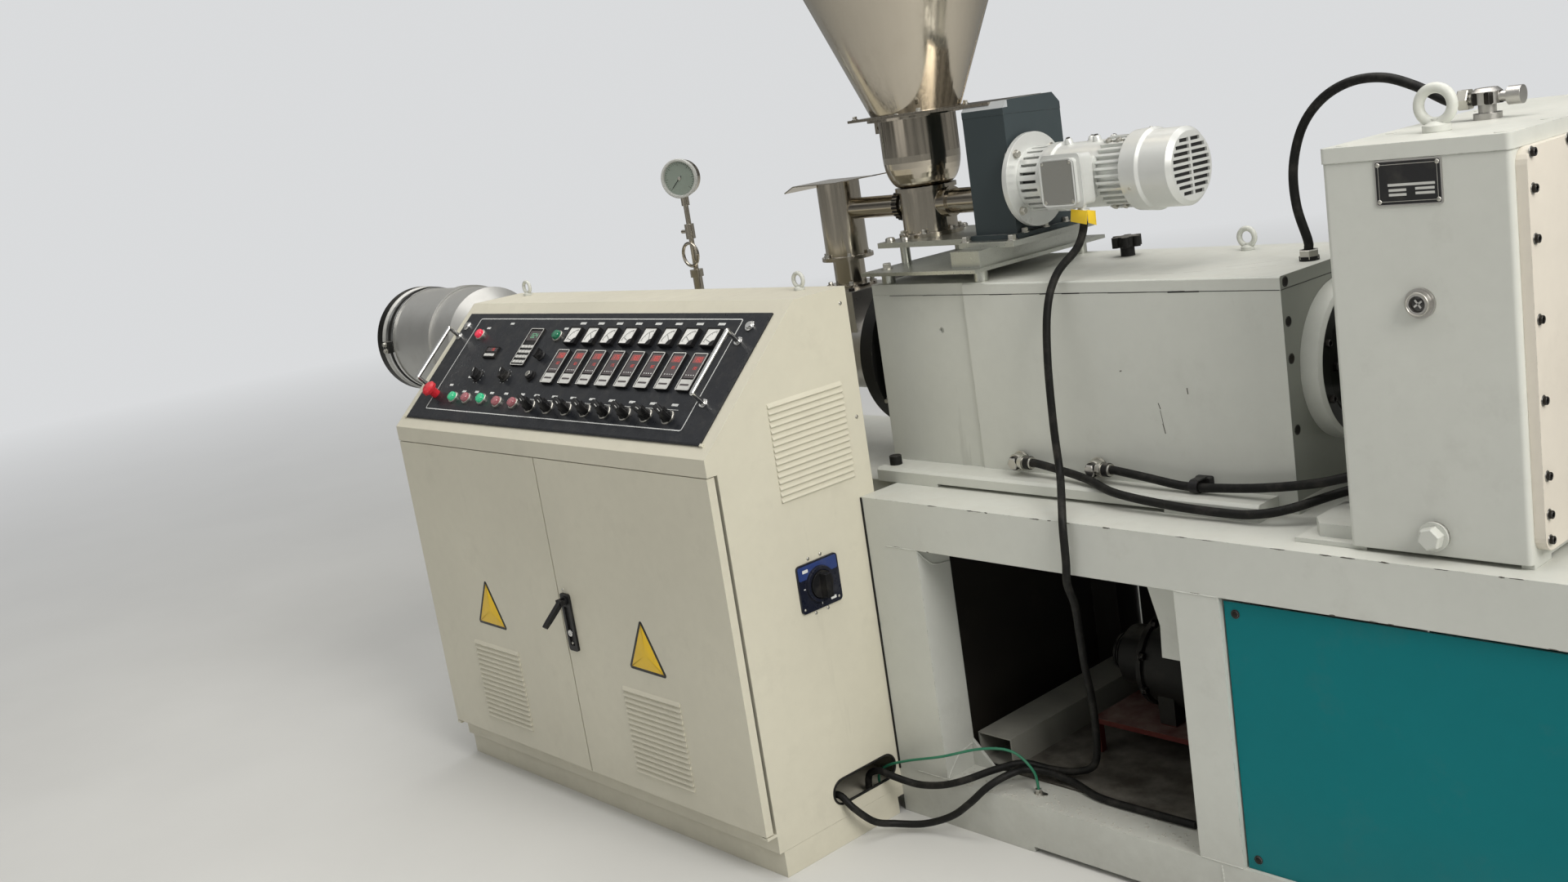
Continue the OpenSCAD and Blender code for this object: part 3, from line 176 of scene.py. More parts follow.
def turned(profile: Sequence[Pair], sides: int = 32, twist: float = 0.0) -> Surface:
    """A turned part: each (height, radius) of the profile is carried once round the local z axis.

    The point at height h, radius r and angle a is (r cos a, r sin a, h); a radius of 0 at either end
    is one pole.

    Args:
        profile: pairs of height and radius, from the seat outwards.
        sides: points round the axis; 6 gives a hexagon.
        twist: angle of the first side in degrees.

    Returns:
        The closed surface.
    """
    h, r = np.array(profile, float).T
    low, high = r[0] < 1e-6, r[-1] < 1e-6
    core = slice(1 if low else 0, len(r) - 1 if high else len(r))
    a = np.linspace(0, 2 * math.pi, sides, endpoint=False) + math.radians(twist)
    hc, rc = h[core, None], r[core, None]
    rings = np.stack([rc * np.cos(a), rc * np.sin(a), np.broadcast_to(hc, (len(rc), sides))], -1)
    points = rings.reshape(-1, 3)
    faces = [ring_faces(len(rc), sides)]
    for closed, tip_h, start, up in ((low, h[0], 0, False), (high, h[-1], (len(rc) - 1) * sides, True)):
        if closed:
            faces.append(fan_faces(start, sides, len(points), up))
            points = np.vstack([points, [0, 0, tip_h]])
    return Surface(points, faces)


def outline_normals(outline: Array) -> Array:
    """Mitred inward normals of a closed outline: the mean of both edges' normals over its cosine."""
    before, after = outline - np.roll(outline, 1, 0), np.roll(outline, -1, 0) - outline
    unit = [e / np.linalg.norm(e, axis=1, keepdims=True) for e in (before, after)]
    normals = [np.stack([-e[:, 1], e[:, 0]], -1) for e in unit]
    mean = normals[0] + normals[1]
    mean /= np.linalg.norm(mean, axis=1, keepdims=True)
    return mean / np.maximum((mean * normals[0]).sum(1, keepdims=True), 0.3)


def lofted(outline: Array, steps: Sequence[Pair], open_ends: bool = False) -> Surface:
    """A plate or frame: a closed outline carried through (height, inset) steps.

    Ring j holds outline + inset_j times the inward normal, at height_j. The ends are closed by fans
    to the outline's middle.

    Args:
        outline: (n, 2) points, anticlockwise.
        steps: pairs of height and inset.
        open_ends: leaves both ends open, for a rim.

    Returns:
        The surface.
    """
    n = len(outline)
    normals = outline_normals(outline)
    rings = [np.column_stack([outline + normals * inset, np.full(n, height)]) for height, inset in steps]
    faces = [ring_faces(len(steps), n)]
    points = np.vstack(rings)
    if not open_ends:
        middle = outline.mean(0)
        points = np.vstack([points, [*middle, steps[0][0]], [*middle, steps[-1][0]]])
        top = (len(steps) - 1) * n
        faces += [fan_faces(0, n, len(points) - 2, False), fan_faces(top, n, len(points) - 1, True)]
    return Surface(points, faces)


def rounded(width: float, height: float, radius: float, arc: int = 5) -> Array:
    """Outline of a rectangle about the origin with round corners: four quarter circles in turn."""
    a = np.linspace(0, math.pi / 2, arc)
    x, y = width / 2 - radius, height / 2 - radius
    parts = []
    for i, (sx, sy) in enumerate(((1, 1), (-1, 1), (-1, -1), (1, -1))):
        b = a + i * math.pi / 2
        parts.append(np.column_stack([sx * x + radius * np.cos(b), sy * y + radius * np.sin(b)]))
    return np.vstack(parts)


def disc(radius: float, sides: int = 32) -> Array:
    """Outline of a circle about the origin: (r cos a, r sin a)."""
    a = np.linspace(0, 2 * math.pi, sides, endpoint=False)
    return np.column_stack([radius * np.cos(a), radius * np.sin(a)])


def smooth_path(points: Sequence[Point], count: int) -> Array:
    """A smooth line through the points, as a centripetal Catmull-Rom curve.

    On each stretch the four points p0..p3 blend with the cubic Hermite weights of t, with tangents
    (p2 - p0) / 2 and (p3 - p1) / 2; the samples are then spread evenly along the length.

    Args:
        points: points that the line runs through.
        count: number of samples.

    Returns:
        (count, 3) array of samples at even distances.
    """
    p = np.asarray(points, float)
    p = np.vstack([2 * p[0] - p[1], p, 2 * p[-1] - p[-2]])
    t = np.linspace(0, 1, 24, endpoint=False)[:, None, None]
    p0, p1, p2, p3 = p[:-3], p[1:-2], p[2:-1], p[3:]
    m1, m2 = (p2 - p0) / 2, (p3 - p1) / 2
    h = (2 * t**3 - 3 * t**2 + 1) * p1 + (t**3 - 2 * t**2 + t) * m1
    h = h + (3 * t**2 - 2 * t**3) * p2 + (t**3 - t**2) * m2
    dense = np.vstack([h.transpose(1, 0, 2).reshape(-1, 3), p[-2]])
    s = np.concatenate([[0], np.cumsum(np.linalg.norm(np.diff(dense, axis=0), axis=1))])
    even = np.linspace(0, s[-1], count)
    return np.column_stack([np.interp(even, s, dense[:, i]) for i in range(3)])


def swept(path: Array, section: Array, scale: Array | None = None, closed: bool = False) -> Surface:
    """A section carried along a path without twisting.

    At each point the section's x and y lie along two axes square to the path; the first axis is the
    one before it less its part along the path. scale sizes the section at each point.

    Args:
        path: (n, 3) points.
        section: (k, 2) outline, anticlockwise seen against the path.
        scale: (n,) factors, or None for 1.
        closed: joins the last ring to the first.

    Returns:
        The surface, with fans over its ends where it is open.
    """
    n, k = len(path), len(section)
    ahead = np.roll(path, -1, 0) - np.roll(path, 1, 0) if closed else np.gradient(path, axis=0)
    ahead = ahead / np.linalg.norm(ahead, axis=1, keepdims=True)
    side = np.zeros_like(path)
    guess = np.array([0, 0, 1.0]) if abs(ahead[0, 2]) < 0.9 else np.array([0, 1.0, 0])
    for i in range(n):
        guess = guess - ahead[i] * (guess @ ahead[i])
        guess = guess / np.linalg.norm(guess)
        side[i] = guess
    other = np.cross(ahead, side)
    size = np.ones(n) if scale is None else np.asarray(scale, float)
    rings = path[:, None] + size[:, None, None] * (
        section[None, :, :1] * side[:, None] + section[None, :, 1:] * other[:, None]
    )
    points = rings.reshape(-1, 3)
    faces = [ring_faces(n, k)]
    if closed:
        last, j = (n - 1) * k, np.arange(k)
        faces.append(np.stack([last + j, last + (j + 1) % k, (j + 1) % k, j], -1))
    else:
        points = np.vstack([points, path[0], path[-1]])
        faces += [fan_faces(0, k, len(points) - 2, False), fan_faces((n - 1) * k, k, len(points) - 1, True)]
    return Surface(points, faces)


# Finishes


def linear(red: int, green: int, blue: int) -> tuple[float, float, float, float]:
    """Turns a display colour of 0 to 255 into linear light: ((c + 0.055) / 1.055) to the power 2.4."""
    shades = (c / 255 for c in (red, green, blue))
    return (*(c / 12.92 if c <= 0.04045 else ((c + 0.055) / 1.055) ** 2.4 for c in shades), 1.0)


def scaled(colour: Sequence[float], factor: float, lift: float = 0.0) -> tuple[float, ...]:
    """A linear colour times a factor, with a lift added, held at 1; its alpha is 1."""
    return (*(min(1.0, c * factor + lift) for c in colour[:3]), 1.0)


class Nodes:
    """Node tree of a material or a world, with short methods for the nodes that finishes share."""

    def __init__(self, owner: bpy.types.Material | bpy.types.World, space: str = "Object") -> None:
        """Turns on the owner's nodes; space names the coordinates that the patterns read."""
        owner.use_nodes = True
        self.owner, self.tree = owner, owner.node_tree
        self.where = self.node("ShaderNodeTexCoord").outputs[space]

    @property
    def shader(self) -> bpy.types.Node:
        """The material's Principled shader."""
        return next(n for n in self.tree.nodes if n.type == "BSDF_PRINCIPLED")

    @property
    def normal(self) -> bpy.types.NodeSocket:
        """The surface's own normal."""
        return self.node("ShaderNodeNewGeometry").outputs["Normal"]

    def node(self, kind: str, values: dict | None = None, **settings) -> bpy.types.Node:
        """Adds a node.

        Args:
            kind: Blender's class name of the node.
            values: input name or index to a value or to a socket that is linked in.
            **settings: the node's own properties.

        Returns:
            The node.
        """
        node = self.tree.nodes.new(kind)
        for key, value in settings.items():
            setattr(node, key, value)
        self.feed(node, values or {})
        return node

    def feed(self, node: bpy.types.Node, values: dict) -> None:
        """Links each socket and sets each plain value on the named inputs of a node."""
        for key, value in values.items():
            if isinstance(value, bpy.types.NodeSocket):
                self.tree.links.new(value, node.inputs[key])
            elif value is not None:
                node.inputs[key].default_value = value

    def noise(self, scale: float, detail: float = 3, rough: float = 0.55, stretch: Point = (1, 1, 1)):
        """Noise of so many grains a metre, stretched along the axes; returns its 0 to 1 value."""
        where = self.where
        if stretch != (1, 1, 1):
            where = self.node("ShaderNodeMapping", {"Vector": where, "Scale": stretch}).outputs[0]
        values = {"Vector": where, "Scale": scale, "Detail": detail, "Roughness": rough}
        return self.node("ShaderNodeTexNoise", values).outputs[0]

    def ramp(self, value, low: float, high: float, start: float = 0.0, end: float = 1.0):
        """Maps low..high of a value to start..end, held at the ends; returns the socket."""
        values = {"Value": value, 1: low, 2: high, 3: start, 4: end}
        return self.node("ShaderNodeMapRange", values, clamp=True).outputs[0]

    def patches(self, scale: float, detail: float, rough: float = 0.55, span: Pair = (0.3, 0.7),
                to: Pair = (0.0, 1.0), stretch: Point = (1, 1, 1)):
        """Noise whose values over the span are spread over another range."""
        return self.ramp(self.noise(scale, detail, rough, stretch), *span, *to)

    def calc(self, operation: str, first, second=0.0):
        """A sum of two values; operation is Blender's name for it."""
        return self.node("ShaderNodeMath", {0: first, 1: second}, operation=operation).outputs[0]

    def times(self, first, second):
        """The product of two values."""
        return self.calc("MULTIPLY", first, second)

    def mix(self, share, first, second, blend: str = "MIX"):
        """Mixes two colours by a share; returns the colour socket."""
        values = {0: share, 6: first, 7: second}
        return self.node("ShaderNodeMix", values, data_type="RGBA", blend_type=blend).outputs[2]

    def split(self, vector, axis: int):
        """One component of a vector."""
        return self.node("ShaderNodeSeparateXYZ", {0: vector}).outputs[axis]

    def bump(self, height, depth: float, strength: float = 1.0, over=None):
        """Bump of so many metres between height 0 and 1, on top of another normal."""
        values = {"Height": height, "Distance": depth, "Strength": strength, "Normal": over}
        return self.node("ShaderNodeBump", values).outputs[0]

    def edges(self, radius: float) -> tuple:
        """Rounds hard edges for shading.

        Args:
            radius: radius of the rounding in metres.

        Returns:
            The rounded normal, and a value that rises from 0 on a flat to 1 on an edge.
        """
        soft = self.node("ShaderNodeBevel", {"Radius": radius}, samples=4).outputs[0]
        turn = self.node("ShaderNodeVectorMath", {0: soft, 1: self.normal}, operation="DOT_PRODUCT")
        return soft, self.ramp(turn.outputs["Value"], 0.995, 0.8)

    def done(self, colour=None, rough=None, normal=None, plain: dict | None = None) -> bpy.types.Material:
        """Links colour, roughness and normal, sets the plain values and returns the material."""
        self.feed(self.shader, {"Base Color": colour, "Roughness": rough, "Normal": normal, **(plain or {})})
        return self.owner


@dataclass(frozen=True)
class BoxZone:
    """Part of a node between two corners in machine millimetres, painted in a colour of its own."""

    low: Point
    high: Point
    colour: Colour

    def share(self, nodes: Nodes):
        """1 inside the box and 0 outside: the product of six comparisons."""
        low, high = SITE.metres(np.array([self.low, self.high]))
        share = 1.0
        for axis in range(3):
            place = nodes.split(nodes.where, axis)
            above = nodes.calc("GREATER_THAN", place, float(low[axis]))
            below = nodes.calc("LESS_THAN", place, float(high[axis]))
            share = nodes.times(share, nodes.times(above, below))
        return share


@dataclass(frozen=True)
class TubeZone:
    """Part of a node nearer to the shafts' axis than a radius, in a colour of its own."""

    radius: float
    colour: Colour
    axis: Pair = (AXIS_Y, AXIS_Z)

    def share(self, nodes: Nodes):
        """1 where the distance from the axis, the root of y squared plus z squared, is small."""
        centre = SITE.metres(np.array([(0, *self.axis)]))[0]
        off = [nodes.calc("SUBTRACT", nodes.split(nodes.where, i), float(centre[i])) for i in (1, 2)]
        square = nodes.calc("ADD", *(nodes.times(d, d) for d in off))
        return nodes.calc("LESS_THAN", square, (self.radius * MM) ** 2)


@dataclass(frozen=True)
class Finish:
    """What every finish has: a name and a colour in display values of 0 to 255."""

    name: str
    colour: Colour

    def material(self) -> bpy.types.Material:
        """The finish's material, made the first time that it is asked for."""
        if self not in MATERIALS:
            MATERIALS[self] = self.make(Nodes(bpy.data.materials.new(self.name)))
        return MATERIALS[self]

    def make(self, nodes: Nodes) -> bpy.types.Material:
        """Builds the node tree."""
        raise NotImplementedError


MATERIALS: dict[Finish, bpy.types.Material] = {}


@dataclass(frozen=True)
class Enamel(Finish):
    """Sprayed paint on plate: orange peel, cloudy shade, scuffs, dust on top and worn edges."""

    gloss: float = 0.36
    peel: float = 700.0
    peel_depth: float = 0.00006
    wear: float = 0.5
    grime: float = 0.3
    edge: float = 0.0022
    bare: Colour = (120, 118, 112)
    shine: float = 0.4
    metal: float = 0.0
    zones: tuple[BoxZone | TubeZone, ...] = ()

    def shade(self, nodes: Nodes):
        """The paint's colour in its zones, times a cloudy and a fine shade."""
        colour = linear(*self.colour)
        for zone in self.zones:
            colour = nodes.mix(zone.share(nodes), colour, linear(*zone.colour))
        cloud = nodes.times(nodes.patches(1.7, 4, to=(0.93, 1.03)), nodes.patches(38, 3, to=(0.985, 1.01)))
        grey = nodes.node("ShaderNodeCombineColor", {i: cloud for i in range(3)}).outputs[0]
        return nodes.mix(1.0, colour, grey, "MULTIPLY")

    def make(self, nodes: Nodes) -> bpy.types.Material:
        """Lays smudges, scuffs, floor grime, dust and bare edges over the shade, one after another."""
        soft, edge = nodes.edges(self.edge)
        smudge = nodes.patches(7, 6, 0.7, (0.56, 0.78), (0.0, 0.16 * (0.4 + self.grime)))
        scuff = nodes.patches(9, 5, 0.6, (0.665, 0.70), (0.0, 0.22 * self.wear), (1, 1, 0.12))
        near_floor = nodes.ramp(nodes.split(nodes.where, 2), 0.30, 0.0, 0.0, self.grime)
        facing_up = nodes.ramp(nodes.split(nodes.normal, 2), 0.75, 1.0)
        dust = nodes.times(facing_up, nodes.patches(16, 5, 0.65, (0.35, 0.7), (0.04, 0.30)))
        chips = nodes.times(edge, nodes.patches(55, 4, 0.7, (0.52, 0.62), (0.0, self.wear)))
        colour = self.shade(nodes)
        for share, over in ((smudge, (112, 106, 94)), (scuff, (88, 84, 76)),
                            (nodes.times(near_floor, nodes.noise(11, 5, 0.7)), (96, 88, 74)),
                            (dust, (196, 192, 182)), (chips, self.bare)):
            colour = nodes.mix(share, colour, linear(*over))
        rough = nodes.patches(5, 4, to=(self.gloss - 0.05, self.gloss + 0.08))
        rough = nodes.calc("ADD", rough, nodes.times(nodes.calc("ADD", dust, smudge), 0.5))
        normal = nodes.bump(nodes.noise(2.6, 2), 0.0012, 0.35, soft)
        normal = nodes.bump(nodes.noise(self.peel, 2), self.peel_depth, 0.5, normal)
        return nodes.done(colour, rough, normal, {"Specular IOR Level": self.shine, "Metallic": self.metal})


@dataclass(frozen=True)
class Metal(Finish):
    """Bare metal: fine lines along one axis, cloudy stain, darker speckles and worn edges."""

    rough: float = 0.3
    lines: Point = (1, 1, 1)
    line_depth: float = 0.00003
    stain: float = 0.25
    stain_colour: Colour = (96, 84, 66)
    edge: float = 0.0008

    def make(self, nodes: Nodes) -> bpy.types.Material:
        """Mixes cloud and stain into the metal's colour; the lines set roughness and bump."""
        base = linear(*self.colour)
        soft, edge = nodes.edges(self.edge)
        colour = nodes.mix(nodes.patches(2.5, 3), base, scaled(base, 0.88))
        stain = nodes.patches(13, 6, 0.7, (0.54, 0.74), (0.0, self.stain))
        colour = nodes.mix(stain, colour, linear(*self.stain_colour))
        colour = nodes.mix(nodes.times(edge, 0.35), colour, (0.85, 0.85, 0.84, 1))
        lines = nodes.noise(210, 3, 0.6, self.lines)
        rough = nodes.ramp(lines, 0.3, 0.7, self.rough - 0.05, self.rough + 0.10)
        rough = nodes.calc("ADD", rough, nodes.times(stain, 0.4))
        return nodes.done(colour, rough, nodes.bump(lines, self.line_depth, 0.6, soft), {"Metallic": 1.0})


@dataclass(frozen=True)
class Moulded(Finish):
    """Plastic or rubber: fine grain, faint mottling, pale dust in patches and rubbed edges."""

    rough: float = 0.45
    grain: float = 1400.0
    grain_depth: float = 0.00005
    dust: float = 0.15
    coat: float = 0.0
    shine: float = 0.35

    def make(self, nodes: Nodes) -> bpy.types.Material:
        """Mixes mottling, dust and rubbed edges into the colour."""
        base = linear(*self.colour)
        soft, edge = nodes.edges(0.0008)
        colour = nodes.mix(nodes.patches(60, 4, to=(0.0, 0.25)), base, scaled(base, 1.35, 0.004))
        dusty = nodes.patches(24, 6, 0.7, (0.5, 0.75), (0.0, self.dust))
        colour = nodes.mix(dusty, colour, linear(150, 145, 134))
        colour = nodes.mix(nodes.times(edge, 0.25), colour, linear(120, 118, 112))
        rough = nodes.patches(90, 3, to=(self.rough - 0.06, self.rough + 0.08))
        rough = nodes.calc("ADD", rough, nodes.times(dusty, 0.8))
        normal = nodes.bump(nodes.noise(self.grain, 2), self.grain_depth, 0.6, soft)
        return nodes.done(colour, rough, normal, {"Coat Weight": self.coat, "Specular IOR Level": self.shine})


@dataclass(frozen=True)
class Printed(Finish):
    """Screen print or a thin plate: even colour, slightly rubbed and dusted."""

    rough: float = 0.45
    light: float = 0.0

    def make(self, nodes: Nodes) -> bpy.types.Material:
        """Mixes rubbed patches and dust into the colour; light is the share that it gives off."""
        base = linear(*self.colour)
        rubbed = nodes.patches(120, 4, 0.7, (0.55, 0.75), (0.0, 0.18))
        colour = nodes.mix(rubbed, base, scaled(base, 0.7))
        spots = nodes.patches(30, 5, span=(0.5, 0.8), to=(0.0, 0.12))
        colour = nodes.mix(spots, colour, linear(140, 134, 122))
        rough = nodes.patches(70, 3, to=(self.rough - 0.06, self.rough + 0.08))
        return nodes.done(colour, rough, None, {"Emission Color": base, "Emission Strength": self.light})


@dataclass(frozen=True)
class Lens(Finish):
    """Ribbed coloured lens over a lamp: deep gloss, faint ribs and a light of its own when lit."""

    light: float = 0.0

    def make(self, nodes: Nodes) -> bpy.types.Material:
        """Darkens the colour in patches and bumps fine ribs."""
        base = linear(*self.colour)
        colour = nodes.mix(nodes.patches(180, 2, to=(0.0, 0.35)), base, scaled(base, 0.55))
        normal = nodes.bump(nodes.noise(900, 1), 0.0001, 0.4)
        plain = {"Coat Weight": 0.6, "Coat Roughness": 0.08, "Emission Color": base,
                 "Emission Strength": self.light}
        return nodes.done(colour, 0.24, normal, plain)


GREY, TEAL, SLATE, SOOT = (208, 210, 203), (6, 118, 124), (62, 71, 74), (26, 26, 25)

FRAME_PAINT = Enamel("frame_enamel", GREY, gloss=0.34, wear=0.7, grime=0.5)
# The zone paints shade on the frame's faces inside, between its front and back faces, where the open bays are
# dark.
FRAME_INSIDE_SHADED = replace(FRAME_PAINT, name="frame_and_inner_shade",
                      zones=(BoxZone((-149, 97.5, -5), (2213, 738, 724.5), (48, 46, 43)),))
# The zone paints shade on the tray's low part, inside the first bay.
TRAY_PAINT = Enamel("tray_and_duct", (150, 150, 142), gloss=0.4, wear=0.8, grime=0.6,
                    zones=(BoxZone((95.2, 0, 100), (700, 750, 200), (46, 43, 39)),))
# The plate's dark colour is painted shade on its inner face inside the open bay; the zone keeps its outer face
# teal.
BACK_PLATE = Enamel("bay_back_plate", (40, 40, 38), gloss=0.5, wear=0.4, grime=0.5, bare=(110, 106, 100),
                    zones=(BoxZone((-5, 739.2, 100), (650, 742, 650), TEAL),))
RING_PAINT = Enamel("ring_and_hub", GREY, gloss=0.34, wear=0.6, zones=(TubeZone(143.0, (34, 36, 33)),))
# The zone paints the shadow that the gear case casts on the box's right end face.
BOX_PAINT = Enamel("box_enamel", GREY, gloss=0.34, wear=0.6,
                   zones=(BoxZone((799.5, 180, 770), (806, 570, 1182), (150, 153, 145)),))
DIE_STEEL = Enamel("die_steel", (192, 192, 189), gloss=0.4, metal=0.6, wear=0.15, bare=(206, 204, 200),
                   zones=(BoxZone((-2720, 150, 750), (-2650, 600, 1250), (30, 29, 27)),))
CABINET_PAINT = Enamel("cabinet_enamel", (214, 210, 192), gloss=0.42, peel=1500, wear=0.25, grime=0.25,
                       edge=0.0018)
COVER_PAINT = Enamel("cover_enamel", (226, 219, 206), gloss=0.4, wear=0.4, grime=0.2)
TEAL_PAINT = Enamel("teal_enamel", TEAL, gloss=0.4, wear=0.3, grime=0.25, bare=(140, 150, 148), shine=0.14)
SLATE_PAINT = Enamel("slate_enamel", SLATE, gloss=0.42, wear=0.35, grime=0.2, bare=(150, 152, 150),
                     shine=0.25)
# The zone is a painted highlight: a pale strip on the front bevel of the case's cap.
CAP_PAINT = replace(SLATE_PAINT, name="case_cap_enamel",
                    zones=(BoxZone((42, 264, 1525.1), (156, 280.5, 1541), (176, 180, 182)),))
MOTOR_PAINT = Enamel("motor_enamel", (46, 66, 72), gloss=0.4, wear=0.4, bare=(140, 142, 140), shine=0.3)
SILVER_PAINT = Enamel("silver_enamel", (220, 222, 219), gloss=0.3, metal=0.3, peel=420, peel_depth=0.00012,
                      wear=0.2, grime=0.1)
CAST_BLACK = Enamel("cast_black", SOOT, gloss=0.5, peel=260, peel_depth=0.0004, bare=(110, 106, 100),
                    shine=0.25)
PUMP_BLACK = replace(CAST_BLACK, name="pump_and_stool", wear=0.6, grime=0.4,
                     zones=(BoxZone((180, 250, 100), (570, 520, 196), (84, 24, 22)),))
STEEL = Metal("turned_steel", (196, 194, 190), rough=0.32, lines=(6, 1, 1), stain=0.3)
PLATED = Metal("plated_plate", (206, 208, 200), rough=0.3, lines=(1, 6, 1), line_depth=0.00002, stain=0.15)
BANDS = Metal("heater_band", (188, 184, 176), rough=0.34, lines=(5, 0.6, 0.6), stain=0.45,
              stain_colour=(120, 92, 60))
STAINLESS = Metal("brushed_stainless", (190, 182, 168), rough=0.13, lines=(1, 1, 0.04), line_depth=0.00001,
                  stain=0.06)
CHROME = Metal("chrome_bar", (216, 216, 214), rough=0.1, stain=0.05, line_depth=0.000008)
ZINC = Metal("zinc_screw", (198, 196, 188), rough=0.34, stain=0.3)
BLACK_STEEL = Metal("black_steel", (54, 52, 50), rough=0.42, stain=0.3)
DESK_FACE = Moulded("desk_face", (36, 38, 42), rough=0.3, grain=900, grain_depth=0.00002, dust=0.08,
                    shine=0.25)
BLACK = Moulded("black_moulding", (20, 20, 22), rough=0.42, dust=0.1)
RED = Moulded("red_moulding", (204, 40, 52), rough=0.28, dust=0.06, coat=0.3)
RUBBER = Moulded("rubber_cover", (20, 20, 19), rough=0.5, grain=700, grain_depth=0.00016, dust=0.1, shine=0.2)
SWITCH_NAVY = Moulded("switch_navy", (24, 27, 40), rough=0.3, dust=0.08)
WIRE_GREEN = Moulded("wire_green", (40, 112, 84), rough=0.4, dust=0.1)
KNOB_BLACK = Moulded("knob_black", (12, 12, 13), rough=0.3, dust=0.05)
FRAME_GREY = Moulded("unit_frame", (196, 196, 192), rough=0.36, dust=0.1)
UNIT_DARK = Moulded("unit_window", (64, 54, 56), rough=0.14, coat=0.5, dust=0.05)
KEY_LIGHT = Moulded("unit_keys", (204, 204, 200), rough=0.4, dust=0.1)
SIGHT_GLASS = Moulded("sight_glass", (34, 33, 30), rough=0.08, coat=1.0, dust=0.05)
PRINT_WHITE = Printed("print_white", (216, 218, 216))
PRINT_BLACK = Printed("print_black", (24, 24, 26))
DIAL_WHITE = Printed("dial_white", (236, 236, 232), rough=0.3)
DIAL_GREEN = Printed("dial_green", (146, 158, 148), rough=0.2)
DIAL_BLUE = Printed("dial_blue", (44, 62, 116), rough=0.34)
SIGN_YELLOW = Printed("sign_yellow", (238, 196, 30), rough=0.38)
TAG_YELLOW = Printed("tag_yellow", (232, 196, 40), rough=0.42)
BEZEL = Printed("gauge_bezel", (206, 208, 204), rough=0.25)
LID_GREY = Printed("lid_grey", (136, 136, 131))
FIGURE_RED = Printed("figure_red", (206, 62, 58), light=0.3)
FIGURE_GREEN = Printed("figure_green", (120, 190, 150), light=0.2)
WINDOW_RED = Printed("window_red", (142, 84, 82), rough=0.2)
CHIP_DARK = Printed("chip_dark", (84, 82, 74))
FILLER_GREY = Printed("filler_grey", (188, 186, 178), rough=0.8)
SCRATCH_GREY = Printed("scratch_grey", (150, 148, 142))
SCUFF_DARK = Printed("scuff_dark", (92, 90, 82))
GREEN_LIT = Lens("green_lens_lit", (46, 182, 128), light=0.22)
GREEN_DARK = Lens("green_lens", (18, 118, 84))
RED_LIT = Lens("red_lens_lit", (232, 44, 76), light=0.25)
RED_DULL = Lens("red_lens", (168, 96, 104))

NODE_FINISH: dict[Finish, str] = {
    FRAME_INSIDE_SHADED: "base_frame",
    BOX_PAINT: "distribution_box box_lid",
    DIE_STEEL: "die_head",
    FRAME_PAINT: "reducer_housing reducer_lid barrel_stand lifting_eyes",
    RING_PAINT: "shaft_coupling",
    TRAY_PAINT: "bay_tray",
    BACK_PLATE: "bay_back",
    TEAL_PAINT: "bay_panels",
    COVER_PAINT: "reducer_side_cover",
    MOTOR_PAINT: "main_motor motor_cowl motor_terminal_box",
    SLATE_PAINT: "feeder_case",
    CAST_BLACK: "motor_coupling barrel_flange box_fittings",
    STEEL: "barrel reducer_fittings",
    BANDS: "barrel_heaters",
    STAINLESS: "feed_hopper feeder_bowl feed_tube drop_tube drop_cap vacuum_gauge",
    PLATED: "feeder_stand",
    SILVER_PAINT: "feeder_motor feeder_motor_cowl feeder_terminal_box",
    CABINET_PAINT: "cabinet_body cabinet_plinth door_left door_right",
    DESK_FACE: "console_panel",
    BLACK: "console_meters console_knobs switch_knob lock_plate lever_hub door_lever",
    SWITCH_NAVY: "switch_plate",
    PUMP_BLACK: "oil_pump",
    CHROME: "console_handles",
    RED: "stop_button",
}


def dress_nodes() -> None:
    """Gives every CAD node that stays in view its finish."""
    for finish, names in NODE_FINISH.items():
        for name in names.split():
            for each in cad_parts[name].material_slots:
                each.material = finish.material()
    log.info("dressed %d nodes", sum(len(names.split()) for names in NODE_FINISH.values()))


# Pieces


